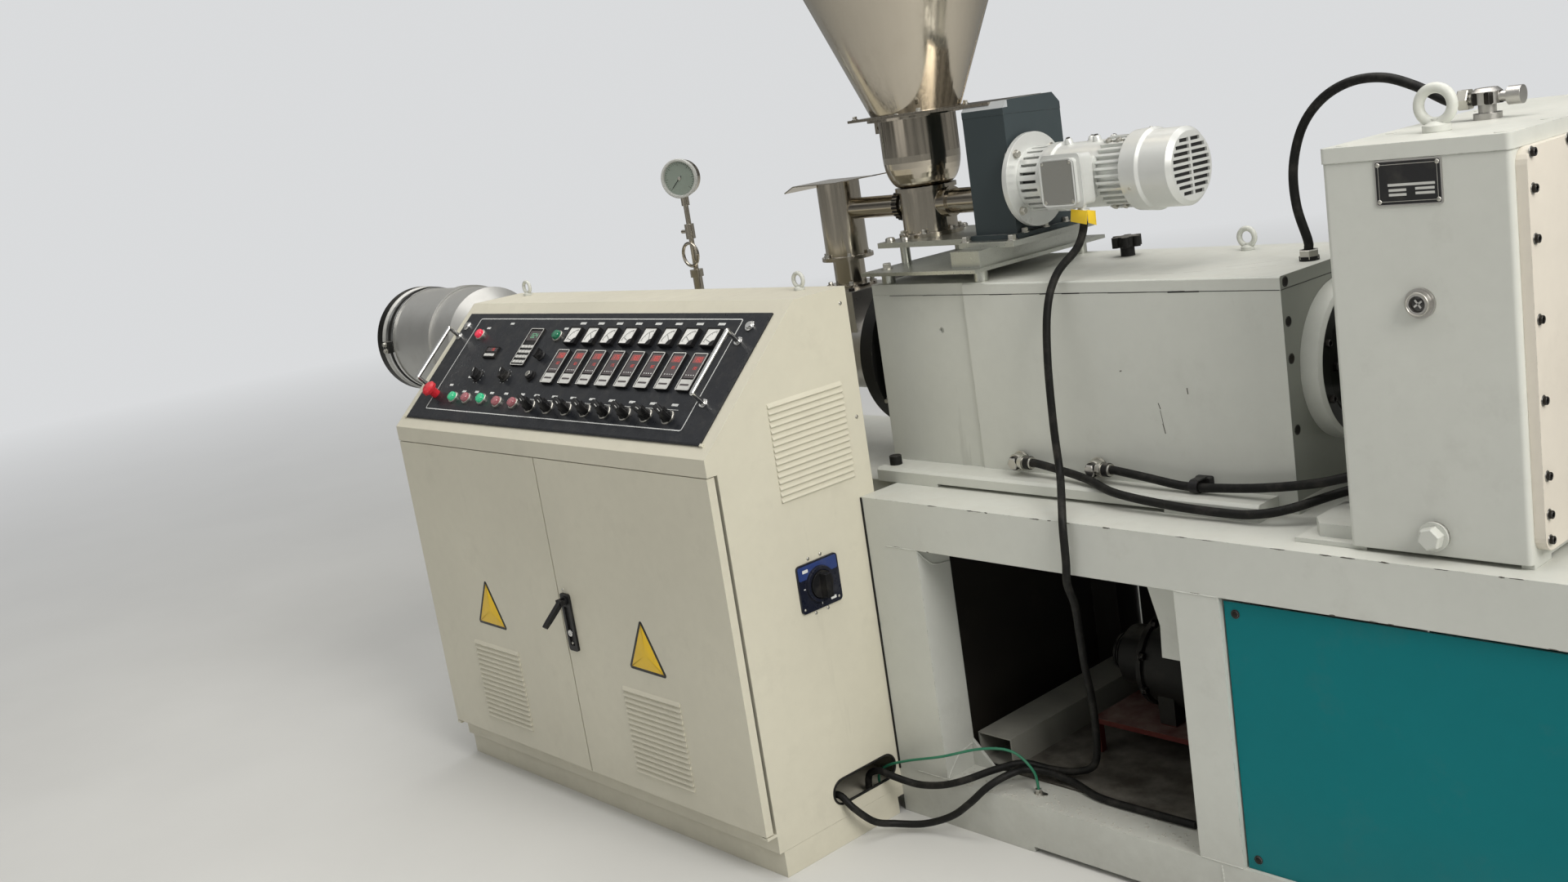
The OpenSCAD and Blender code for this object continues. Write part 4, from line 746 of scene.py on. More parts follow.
class Piece:
    """One named object: surfaces in machine millimetres, each with its finish, on one body."""

    def __init__(self, name: str, body: str = "machine", slot: str = "", sharp: float = 34.0) -> None:
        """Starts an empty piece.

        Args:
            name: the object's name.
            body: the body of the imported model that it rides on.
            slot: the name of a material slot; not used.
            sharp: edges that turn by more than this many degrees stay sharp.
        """
        self.name, self.body, self.slot, self.sharp = name, body, slot, sharp
        self.parts: list[tuple[Surface, Finish]] = []

    def add(self, surface: Surface, finish: Finish, places: Array | Sequence[Array] | None = None) -> "Piece":
        """Adds a surface in one finish, as it stands or with a copy at one place or at several."""
        if places is not None:
            surface = surface.repeated(np.reshape(places, (-1, 4, 4)))
        self.parts.append((surface, finish))
        return self

    def build(self) -> None:
        """Makes the mesh and the object, which rides on its body."""
        finishes = list(dict.fromkeys(finish for _, finish in self.parts))
        counts, loops, marks, points, first = [], [], [], [], 0
        for surface, finish in self.parts:
            for faces in surface.faces:
                counts.append(np.full(len(faces), faces.shape[1]))
                loops.append((faces + first).ravel())
                marks.append(np.full(len(faces), finishes.index(finish)))
            points.append(surface.points)
            first += len(surface.points)
        sizes, loop = np.concatenate(counts), np.concatenate(loops)
        mesh = bpy.data.meshes.new(self.name)
        mesh.vertices.add(first)
        mesh.vertices.foreach_set("co", SITE.metres(np.vstack(points)).astype(np.float32).ravel())
        mesh.loops.add(len(loop))
        mesh.loops.foreach_set("vertex_index", loop.astype(np.int32))
        mesh.polygons.add(len(sizes))
        starts = np.concatenate([[0], np.cumsum(sizes)[:-1]])
        mesh.polygons.foreach_set("loop_start", starts.astype(np.int32))
        mesh.polygons.foreach_set("material_index", np.concatenate(marks).astype(np.int32))
        mesh.update(calc_edges=True)
        mesh.validate()
        for finish in finishes:
            mesh.materials.append(finish.material())
        mesh.shade_smooth()
        mesh.set_sharp_from_angle(angle=math.radians(self.sharp))
        made = linked(bpy.data.objects.new(self.name, mesh))
        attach(made, self.body)
        log.info("%s: %d faces", self.name, len(sizes))


def linked(made: bpy.types.Object) -> bpy.types.Object:
    """Puts an object into the scene and returns it."""
    bpy.context.scene.collection.objects.link(made)
    return made


class SubAssembly:
    """A group of pieces that sit on one part of the machine."""

    def pieces(self) -> Iterable[Piece]:
        """The group's pieces, in the order that they are built."""
        raise NotImplementedError

    def build(self) -> None:
        """Builds the pieces one after another."""
        for piece in self.pieces():
            piece.build()


@dataclass
class Cord:
    """A hose or cable that runs from one point of the machine to another."""

    name: str
    node: str
    diameter: float
    route: list[Point]
    stiffness: str = "medium"
    finish: Finish = RUBBER

    def build(self) -> None:
        metres = SITE.metres(smooth_path(self.route, max(60, 6 * len(self.route))))
        curve = bpy.data.curves.new(self.name, "CURVE")
        curve.dimensions = "3D"
        curve.bevel_depth = self.diameter / 2 * MM
        curve.bevel_resolution = 5
        curve.use_fill_caps = True
        spline = curve.splines.new("POLY")
        spline.points.add(len(metres) - 1)
        spline.points.foreach_set("co", np.column_stack([metres, np.ones(len(metres))]).ravel())
        spline.use_smooth = True
        curve.materials.append(self.finish.material())
        made = linked(bpy.data.objects.new(self.name, curve))
        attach(made, "machine")
        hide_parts(self.node)
        length = float(np.linalg.norm(np.diff(metres, axis=0), axis=1).sum())
        log.info("%s: %.2f m", self.name, length)


@dataclass
class CordSet:
    """The hoses and cables that the photograph's side shows, with the routes of their solids."""

    cords: list[Cord] = field(default_factory=lambda: [
        Cord("oil_hose_low", "oil_hoses", 17, [
            (213, 154, 807), (228, 154, 807), (300, 148, 798), (375, 130, 791), (461, 101, 779),
            (585, 98, 767), (700, 102, 762), (760, 104, 765), (815, 124, 774), (880, 178, 793),
            (938, 235, 806), (955, 235, 806)]),
        Cord("oil_hose_high", "oil_hoses", 17, [
            (412, 154, 807), (427, 154, 807), (501, 150, 800), (587, 150, 790), (670, 150, 793),
            (763, 150, 802), (860, 152, 818), (938, 172, 836), (955, 172, 836)]),
        Cord("oil_hose_arch", "oil_hoses", 17, [
            (1064, 330, 1438), (1048, 330, 1438), (985, 340, 1470), (925, 350, 1489), (865, 350, 1488),
            (810, 350, 1464), (768, 350, 1418), (745, 350, 1350), (745, 350, 1280), (762, 350, 1216),
            (762, 350, 1199)]),
        Cord("feeder_cable", "cables", 16, [
            (360, 223, 1296), (360, 223, 1278), (350, 208, 1240), (322, 172, 1196), (314, 142, 1135),
            (317, 120, 1037), (324, 106, 908), (336, 94, 815), (374, 46, 792), (406, 4, 772),
            (420, -17, 736), (417, -16, 668), (412, -14, 625), (396, 20, 570), (366, 60, 490),
            (340, 96, 400), (314, 138, 300), (304, 148, 200), (292, 144, 152), (250, 132, 134),
            (196, 116, 134), (150, 84, 150), (108, 38, 144), (58, -12, 127), (0, -26, 108),
            (-60, -36, 100), (-110, -56, 114), (-150, -62, 122), (-182, -64, 108), (-190, -65, 82),
            (-190, -65, 63.2)]),
        Cord("cabinet_cable", "cables", 16, [
            (-192, -182, 63.2), (-190, -182, 88), (-176, -183, 108), (-150, -184, 112), (-122, -178, 88),
            (-104, -140, 44), (-84, -98, 26), (-30, -62, 24), (36, -42, 50), (88, -32, 90), (122, -8, 125),
            (146, 30, 142), (168, 68, 146), (206, 98, 136), (270, 104, 124), (350, 84, 119), (460, 82, 118.8),
            (580, 84, 118.8)]),
        Cord("earth_wire", "cables", 6, [
            (-186, -36, 63.2), (-182, -36, 96), (-150, -38, 124), (-80, -36, 152), (20, -30, 182),
            (110, 0, 208), (165, 36, 200), (206, 50, 160), (216, 50, 110.6)], "limp", WIRE_GREEN),
    ])

    def build(self) -> None:
        """Builds every cord."""
        for cord in self.cords:
            cord.build()


# Shapes and places that several sub-assemblies share


def placed(base: Array, x: float = 0.0, y: float = 0.0, z: float = 0.0, turn: float = 0.0) -> Array:
    """A place on a face: base, then a shift in its own axes, then a turn about its outward axis."""
    c, s = math.cos(math.radians(turn)), math.sin(math.radians(turn))
    return base @ np.array([[c, -s, 0, x], [s, c, 0, y], [0, 0, 1, z], [0, 0, 0, 1]], float)


def grid_places(base: Array, xs: Sequence[float], ys: Sequence[float], z: float = 0.0) -> list[Array]:
    """A place for each pair of x and y."""
    return [placed(base, x, y, z) for x in xs for y in ys]


def circle_places(base: Array, radius: float, count: int, first: float = 0.0, z: float = 0.0) -> list[Array]:
    """Places spread evenly round a circle on a face, turned with it."""
    angles = [math.radians(first + 360 * i / count) for i in range(count)]
    return [placed(base, radius * math.cos(a), radius * math.sin(a), z, math.degrees(a)) for a in angles]


def shell_places(axis: Array, radius: float, angles: Iterable[float]) -> list[Array]:
    """Places on a turned shell, whose outward axes point away from the shell's own axis."""
    places = []
    for angle in angles:
        c, s = math.cos(math.radians(angle)), math.sin(math.radians(angle))
        local = np.eye(4)
        local[:3] = np.column_stack([(-s, c, 0), (0, 0, 1), (c, s, 0), (radius * c, radius * s, 0)])
        places.append(axis @ local)
    return places


def on_axis(facing: Facing, x: float) -> Array:
    """A place on the shafts' common axis."""
    return facing.at((x, AXIS_Y, AXIS_Z))


def tops(xs: Sequence[float], ys: Sequence[float], z: float) -> list[Array]:
    """Places that face up at one height, for each pair of x and y."""
    return grid_places(Facing.TOP.at((0, 0, z)), xs, ys)


def plate(width: float, height: float, thick: float, radius: float = 1.0) -> Surface:
    """A thin plate with round corners whose upper edge is broken by a small chamfer."""
    edge = min(thick * 0.3, 0.6)
    return lofted(rounded(width, height, radius), [(0, 0), (thick - edge, 0), (thick, edge)])


def bar(start: Pair, end: Pair, width: float, thick: float, lift: float = 0.0) -> Surface:
    """A flat bar between two points of a face, as for a printed line or a pointer."""
    (x0, y0), (x1, y1) = start, end
    length, turn = math.hypot(x1 - x0, y1 - y0), math.degrees(math.atan2(y1 - y0, x1 - x0))
    flat_bar = plate(length, width, thick, min(width, length) * 0.2)
    return flat_bar.moved(placed(np.eye(4), (x0 + x1) / 2, (y0 + y1) / 2, lift, turn))


def strip(thick: float, width: float) -> Array:
    """Rectangular section about the origin, for a strip carried along a path."""
    return np.array([(-1, -1), (1, -1), (1, 1), (-1, 1)]) * (thick / 2, width / 2)


def rim(width: float, height: float, radius: float, line: float, thick: float, lift: float = 0.0) -> Surface:
    """A rectangular ring with round corners: a flat section of line by thick carried round it."""
    outline = rounded(width, height, radius, 6)
    path = np.column_stack([outline, np.full(len(outline), lift + thick / 2)])
    return swept(path, strip(thick, line), closed=True)


def hoop(radius: float, section: float, sides: int = 48, lift: float = 0.0) -> Surface:
    """A ring of round section about the outward axis."""
    path = np.column_stack([disc(radius, sides), np.full(sides, lift)])
    return swept(path, disc(section, 10), closed=True)


def puck(low: float, high: float, radius: float, sides: int = 24) -> Surface:
    """A plain turned disc between two heights."""
    return turned([(low, 0), (low, radius), (high, radius), (high, 0)], sides)


def collar(inner: float, outer: float, width: float, sides: int) -> Surface:
    """A ring of rectangular section that rises from its place by its width."""
    return turned([(0, inner), (0, outer), (width, outer), (width, inner), (0, inner)], sides)


def hex_bolt(across: float, head: float, washer: float = 0.0) -> Surface:
    """A hexagon head with its washer; across is the distance over two flats.

    The head's corner radius is across / (2 cos 30 degrees); the washer is 1.25 times as wide.
    """
    corner = across / 2 / math.cos(math.radians(30))
    base = washer or across * 0.12
    hexagon = turned([(base - 0.2, 0), (base - 0.2, corner), (base + head * 0.82, corner),
                      (base + head, corner * 0.84), (base + head, 0)], 6, 15)
    return Surface.joined([puck(-1, base, corner * 1.25), hexagon])


def socket_bolt(radius: float, head: float) -> Surface:
    """A cap screw: a round head with a hollow in its top."""
    return turned([(-1, 0), (-1, radius), (head * 0.9, radius), (head, radius * 0.9), (head, radius * 0.62),
                   (head * 0.35, radius * 0.55), (head * 0.35, 0)], 24)


def pan_screw(radius: float) -> Surface:
    """A low domed screw head: half an ellipse whose height is half the radius."""
    rise = np.radians(np.linspace(0, 90, 6)[:-1])
    dome = np.column_stack([radius * 0.5 * np.sin(rise), radius * np.cos(rise)])
    return turned([(-0.5, 0), (-0.5, radius), *dome, (radius * 0.5, 0)], 20)


def stud(radius: float, height: float) -> Surface:
    """A round post with a broken edge."""
    steps = [(-1, 0), (-1, radius), (height - radius * 0.2, radius), (height, radius * 0.8), (height, 0)]
    return turned(steps, 28)


def weld(points: Sequence[Point], radius: float, seed: int = 1) -> Surface:
    """A weld bead along a seam: a round section whose size ripples with the distance.

    At distance d the radius is the given one times 1 + 0.16 times the sum of a short and a long sine.
    """
    length = float(np.linalg.norm(np.diff(np.asarray(points, float), axis=0), axis=1).sum())
    path = smooth_path(points, max(8, int(length / radius / 0.7)))
    d = np.linspace(0, length, len(path))
    scale = 1 + 0.16 * (np.sin(d / radius * 1.9 + seed) + 0.6 * np.sin(d / radius * 0.37 + 2 * seed))
    return swept(path, disc(radius, 8), scale)


def flake(width: float, height: float, thick: float, rng: np.random.Generator) -> Surface:
    """An uneven flake: an ellipse whose radius wanders by up to a third round its twelve points."""
    a = np.linspace(0, 2 * math.pi, 12, endpoint=False)
    r = 1 + rng.uniform(-0.35, 0.35, 12)
    outline = np.column_stack([width / 2 * r * np.cos(a), height / 2 * r * np.sin(a)])
    return lofted(outline, [(0, 0), (thick, min(width, height) * 0.08)])


def spoke(angle: float, low: float, high: float, width: float, thick: float, lift: float = 0.0,
          centre: Pair = (0.0, 0.0)) -> Surface:
    """A bar that points away from a dial's centre, from one radius to another."""
    (x, y), c, s = centre, math.cos(math.radians(angle)), math.sin(math.radians(angle))
    return bar((x + low * c, y + low * s), (x + high * c, y + high * s), width, thick, lift)


SEGMENTS = {"0": "abcdef", "1": "bc", "2": "abged", "3": "abgcd", "4": "fgbc", "5": "afgcd", "6": "afgedc",
            "7": "abc", "8": "abcdefg", "9": "abcdfg"}


def digits(number: str, height: float, thick: float = 0.2) -> Surface:
    """A number in seven-segment figures, centred on the local zero.

    Each figure is half as wide as high, and its strokes are a tenth of the height wide.
    """
    w, h = height * 0.5, height
    ends = {"a": ((0, h), (w, h)), "b": ((w, h / 2), (w, h)), "c": ((w, 0), (w, h / 2)), "d": ((0, 0), (w, 0)),
            "e": ((0, 0), (0, h / 2)), "f": ((0, h / 2), (0, h)), "g": ((0, h / 2), (w, h / 2))}
    pitch = height * 0.78
    left = -(pitch * (len(number) - 1) + w) / 2
    strokes = []
    for i, figure in enumerate(number):
        for name in SEGMENTS[figure]:
            start, end = ((left + i * pitch + x, y - h / 2) for x, y in ends[name])
            strokes.append(bar(start, end, h * 0.1, thick))
    return Surface.joined(strokes)


# Control cabinet

CABINET = (-1450.0, -404.0)
DESK_ZERO = Facing.DESK.at((*CABINET, 936.0))


def desk(u: float | Sequence[float], s: float | Sequence[float], n: float = 0.0,
         turn: float = 0.0) -> list[Array]:
    """Places for each pair of a distance u along the desk and s up its slope, n above its face."""
    return [placed(DESK_ZERO, x, y, n, turn) for x in np.atleast_1d(u) for y in np.atleast_1d(s)]


@dataclass
class DeskInstruments(SubAssembly):
    """What the slanted desk carries beside its solids."""

    top: float = 4.0
    columns: Array = field(default_factory=lambda: 590.0 + 75.57 * np.arange(8))
    selector_columns: Array = field(default_factory=lambda: 576.0 + 77.08 * np.arange(8))
    shown: tuple[str, ...] = ("150", "165", "170", "175", "180", "180", "185", "190")
    name_strips: tuple[Pair, ...] = ((157, 136), (239, 119), (300, 120), (373, 120), (439, 121), (166, 316),
                                     (269, 331), (224, 163), (513, 122), (530, 317))

    def border(self) -> Piece:
        """The white line round the panel, the strips for names and the line under the selectors'."""
        piece = Piece("desk_border", "console")
        piece.add(rim(1082, 285, 6, 2.4, 0.3), PRINT_WHITE, desk(641, 203.5, self.top))
        for width, height, u, s in ((40, 1.2, self.selector_columns, 110), (22, 6, self.selector_columns, 122),
                                    (24, 6.5, self.columns, 333)):
            piece.add(plate(width, height, 0.3, 0.4), PRINT_WHITE, desk(u, s, self.top))
        strips = [desk(u, s, self.top) for u, s in self.name_strips]
        return piece.add(plate(17, 6, 0.3, 0.4), PRINT_WHITE, strips)

    def meters(self) -> Piece:
        """White faces with scale, needle and the black quarter over the needle's pivot."""
        floor, u, pivot = 13.0, self.columns, (17, -17)
        marks = [spoke(97 + 76 * i / 15, 29.5 if i % 5 else 27, 32, 0.7, 0.2, 0.0, pivot) for i in range(16)]
        a, b = np.radians(np.linspace(96, 174, 16)), np.radians(np.linspace(90, 180, 12))
        arc = np.column_stack([pivot[0] + 32.6 * np.cos(a), pivot[1] + 32.6 * np.sin(a), np.full(16, 0.1)])
        quarter = np.vstack([np.column_stack([21 + 13 * np.cos(b), -21 + 13 * np.sin(b)]), [[21, -21]]])
        needles = [desk(x + 17, 275, floor + 0.9, 168 - (i * 37) % 50) for i, x in enumerate(u)]
        scale = Surface.joined([*marks, swept(arc, strip(0.3, 1.0))])
        return (Piece("meter_faces", "console")
                .add(plate(43, 43, 0.5, 1.5), DIAL_WHITE, desk(u, 292, floor))
                .add(scale, PRINT_BLACK, desk(u, 292, floor + 0.45))
                .add(bar((0, 0), (29, 0), 1.1, 0.3), PRINT_BLACK, needles)
                .add(lofted(quarter, [(0, 0), (1.4, 0), (1.7, 0.3)]), BLACK, desk(u, 292, floor + 0.4))
                .add(rim(46.4, 46.4, 2.5, 1.8, 1.2), BLACK, desk(u, 292, self.top + 10.6)))

    def controllers(self) -> Piece:
        """Light frames, dark windows with red figures, and key bars."""
        floor, u = 10.0, self.columns
        piece = Piece("controller_faces", "console")
        for surface, finish, s, n in (
                (rim(45.4, 93.4, 2.5, 2.6, 0.9), FRAME_GREY, 203, self.top + 7.7),
                (plate(41, 62, 1.0, 1.5), UNIT_DARK, 217.5, floor),
                (plate(41, 26, 1.6, 1.5), KEY_LIGHT, 170, floor),
                (plate(31, 4.5, 0.4, 1.5), UNIT_DARK, 169, floor + 1.5),
                (plate(33, 17, 0.3, 1.0), WINDOW_RED, 234, floor + 0.9)):
            piece.add(surface, finish, desk(u, s, n))
        for number, x in zip(self.shown, u):
            piece.add(digits(number, 11), FIGURE_RED, desk(x, 234, floor + 1.2))
            piece.add(digits(number, 7), FIGURE_RED, desk(x + 2, 212, floor + 1.0))
        dots = np.add.outer(u, (-13, -4.5, 4, 12.5)).ravel()
        return piece.add(plate(4, 2.2, 0.4, 0.6), PRINT_WHITE, desk(dots, 194, floor + 1.0))

    def lamps(self) -> Piece:
        """Lenses and bright rings of the lamps."""
        lens = turned([(8, 0), (8, 12.4), (15.5, 12.4), (18.2, 10.6), (19.2, 6), (19.5, 0)], 28)
        ring = turned([(3.5, 0), (3.5, 15.6), (8.5, 15.6), (9.6, 14.6), (9.6, 12.3), (7, 12.3), (7, 0)], 32)
        lamps = {(209, 98): GREEN_LIT, (347, 99): GREEN_LIT, (274, 98): RED_DULL, (426, 94): RED_DULL,
                 (500, 94): RED_DULL, (150, 293): RED_LIT, (516, 293): GREEN_DARK}
        piece = Piece("desk_lamps", "console")
        for (u, s), finish in lamps.items():
            piece.add(lens, finish, desk(u, s))
        return piece.add(ring, ZINC, [desk(u, s) for u, s in lamps])

    def selectors(self) -> Piece:
        """Long grips and collars of the selectors, with their white pointers and the dial marks."""
        knobs = [desk(u, 90, 0, 161 if i == 6 else 155)[0] for i, u in enumerate(self.selector_columns)]
        grip = lofted(rounded(42, 16, 6), [(9, 0), (34, 0.5), (38, 1.4), (40, 3.6)])
        ring = turned([(3.5, 0), (3.5, 17.4), (6, 17.4), (7.5, 16), (7.5, 0)], 36)
        piece = Piece("selector_handles", "console", "black_plastic")
        piece.add(grip, KNOB_BLACK, knobs).add(ring, ZINC, knobs)
        piece.add(bar((-17, 0), (-2, 0), 1.6, 0.3), FRAME_GREY, [placed(k, z=39.9) for k in knobs])
        for u, s in ((262, 166), (388, 170)):
            piece.add(bar((0, 2), (0, 13), 2.2, 0.3), PRINT_WHITE, desk(u, s, 26, 20))
            dots = circle_places(desk(u, s, self.top)[0], 20, 9, -30)
            piece.add(plate(2.6, 1.3, 0.25, 0.4), PRINT_WHITE, dots)
        piece.add(turned([(0, 0), (0, 8), (1.5, 8), (2, 7.4), (2, 0)], 24), ZINC, desk(504, 174, 17))
        return piece.add(bar((-4.5, 0), (4.5, 0), 1.6, 0.4), PRINT_BLACK, desk(504, 174, 18.9, 60))

    def units(self) -> Piece:
        """Windows and keys of the small display and of the tall keypad unit."""
        piece = Piece("display_units", "console")
        for surface, finish, u, s, n in (
                (plate(50, 13, 0.8, 1.2), UNIT_DARK, 257, 247, 8),
                (plate(11, 8, 1.8, 1.0), KEY_LIGHT, (239, 251, 263, 275), 230, 8),
                (digits("118", 8), FIGURE_RED, 259, 247, 8.8),
                (plate(52, 30, 0.8, 1.5), UNIT_DARK, 412, 292, 7),
                (digits("024", 13), FIGURE_GREEN, 414, 292, 7.8),
                (plate(11, 8.5, 2.0, 1.2), KEY_LIGHT, (391, 405, 419, 433), (214, 229, 244, 259), 7),
                (rim(57, 109, 3, 2.2, 0.8), FRAME_GREY, 412, 258, 8.7)):
            piece.add(surface, finish, desk(u, s, n))
        return piece

    def fasteners(self) -> Piece:
        """Cam locks in the upper corners and the handles' feet."""
        locks = [desk(u, s, self.top)[0] for u, s in ((53, 321), (1218, 327))]
        foot = turned([(0, 0), (0, 11), (2, 11), (4, 8.5), (4, 0)], 28)
        return (Piece("desk_fasteners", "console", "steel")
                .add(turned([(0, 0), (0, 13), (3, 13), (4.5, 11.5), (4.5, 0)], 32), CHROME, locks)
                .add(bar((-7, 0), (7, 0), 2.4, 0.5, 4.3), PRINT_BLACK, [placed(k, turn=38) for k in locks])
                .add(foot, CHROME, desk((42, 1207), (130, 288), self.top)))

    def pieces(self) -> Iterable[Piece]:
        """All of the desk's pieces."""
        return (make() for make in (self.border, self.meters, self.controllers, self.lamps, self.selectors,
                                    self.units, self.fasteners))


@dataclass
class CabinetTrim(SubAssembly):
    """Signs on the doors, the side's switch plate, the cable opening's edging and screws."""

    front: Array = field(default_factory=lambda: Facing.FRONT.at((*CABINET, 0)))
    side: Array = field(default_factory=lambda: Facing.RIGHT.at((-150.0, CABINET[1], 0)))

    def sign(self, name: str, body: str, *corners: Pair) -> Piece:
        """A yellow triangle with a black edge and round corners.

        Args:
            name: the sign's name.
            body: the door that it sits on.
            *corners: lower left, lower right and top, as distance along the front and height.

        Returns:
            The sign.
        """
        points = np.array(corners, float)
        out = points - points.mean(0)
        out /= np.linalg.norm(out, axis=1, keepdims=True)
        a = np.arctan2(out[:, 1], out[:, 0])[:, None] + np.radians(np.linspace(-60, 60, 7))
        outline = ((points - out * 12)[:, None] + 6 * np.stack([np.cos(a), np.sin(a)], -1)).reshape(-1, 2)
        return (Piece(name, body)
                .add(lofted(outline, [(0, 0), (0.5, 0), (0.6, 0.2)]), PRINT_BLACK, self.front)
                .add(lofted(outline, [(0.4, 7), (0.8, 7), (0.9, 7.2)]), SIGN_YELLOW, self.front))

    def lock(self) -> Piece:
        """The lock's cylinder beside the lever, and the screws of its plate."""
        cylinder = turned([(-2, 0), (-2, 8.5), (1.5, 8.5), (2.5, 7.5), (2.5, 4), (1.5, 3.5), (1.5, 0)], 28)
        return (Piece("lock_screws", "door_right", "steel")
                .add(cylinder, CHROME, placed(self.front, 682, 472, 6))
                .add(pan_screw(3.4), ZINC, grid_places(self.front, (682,), (580, 447), 6)))

    def opening(self) -> Piece:
        """Rubber edging round the cable opening: a bead along the stadium-shaped edge."""
        r, ends, z = 28.5, (199 + 28.5, 391 - 28.5), 121.5
        a = np.radians([np.linspace(90, 270, 14), np.linspace(-90, 90, 14)])
        along = np.array(ends)[:, None] + r * np.cos(a)
        edge = np.stack([along, z + r * np.sin(a), np.full(a.shape, 0.5)], -1)
        section = np.array([(-2.6, -2.4), (1.2, -2.4), (2.6, -1.2), (2.6, 1.2), (1.2, 2.4), (-2.6, 2.4)])
        bead = swept(edge.reshape(-1, 3), section, closed=True)
        return Piece("cable_opening_edging", "machine", "hose_rubber").add(bead, RUBBER, self.side)

    def main_switch(self) -> Piece:
        """Blue dial under the switch's knob, its marks, and the plate's bright screws."""
        middle = placed(self.side, 247, 597, 5)
        marks = [placed(middle, -36, 38, 0.5), placed(middle, 34, -41, 0.05)]
        return (Piece("switch_dial")
                .add(plate(112, 30, 0.6, 4), DIAL_BLUE, placed(middle, y=35))
                .add(hoop(34, 2.2, 64, 0.6), DIAL_BLUE, middle)
                .add(plate(5, 2, 0.3, 0.5), PRINT_WHITE, circle_places(middle, 43.5, 4, 0, 0.05))
                .add(plate(16, 7, 0.4, 1), PRINT_WHITE, marks)
                .add(pan_screw(4.2), ZINC, grid_places(middle, (-18, 18), (-61, 61), -5))
                .add(pan_screw(3.0), ZINC, grid_places(middle, (-50, 50), (-44,))))

    def screws(self) -> Piece:
        """The seam screws down the back and the right side."""
        back = Facing.BACK.at((-150.0, 44.0, 0))
        return (Piece("cabinet_screws", "machine", "steel")
                .add(pan_screw(4.5), ZINC,
                     [*grid_places(back, (24, 433, 867, 1276), (120, 420, 720, 1020, 1180)),
                      *grid_places(self.side, (428,), (90, 360, 640, 920, 1170))]))

    def pieces(self) -> Iterable[Piece]:
        """All of the cabinet's pieces."""
        yield self.sign("left_sign", "door_left", (235, 428), (375, 426), (308, 554))
        yield self.sign("right_sign", "door_right", (897, 422), (1039, 420), (971, 550))
        yield from (self.lock(), self.opening(), self.main_switch(), self.screws())


# Frame, gearboxes and motor

FRONT_FACE = Facing.FRONT.at((0.0, 0.0, 0.0))
BACK_FACE = Facing.BACK.at((0.0, 750.0, 0.0))
BOX_FRONT = 184.0
LID_TOP = 1179.0


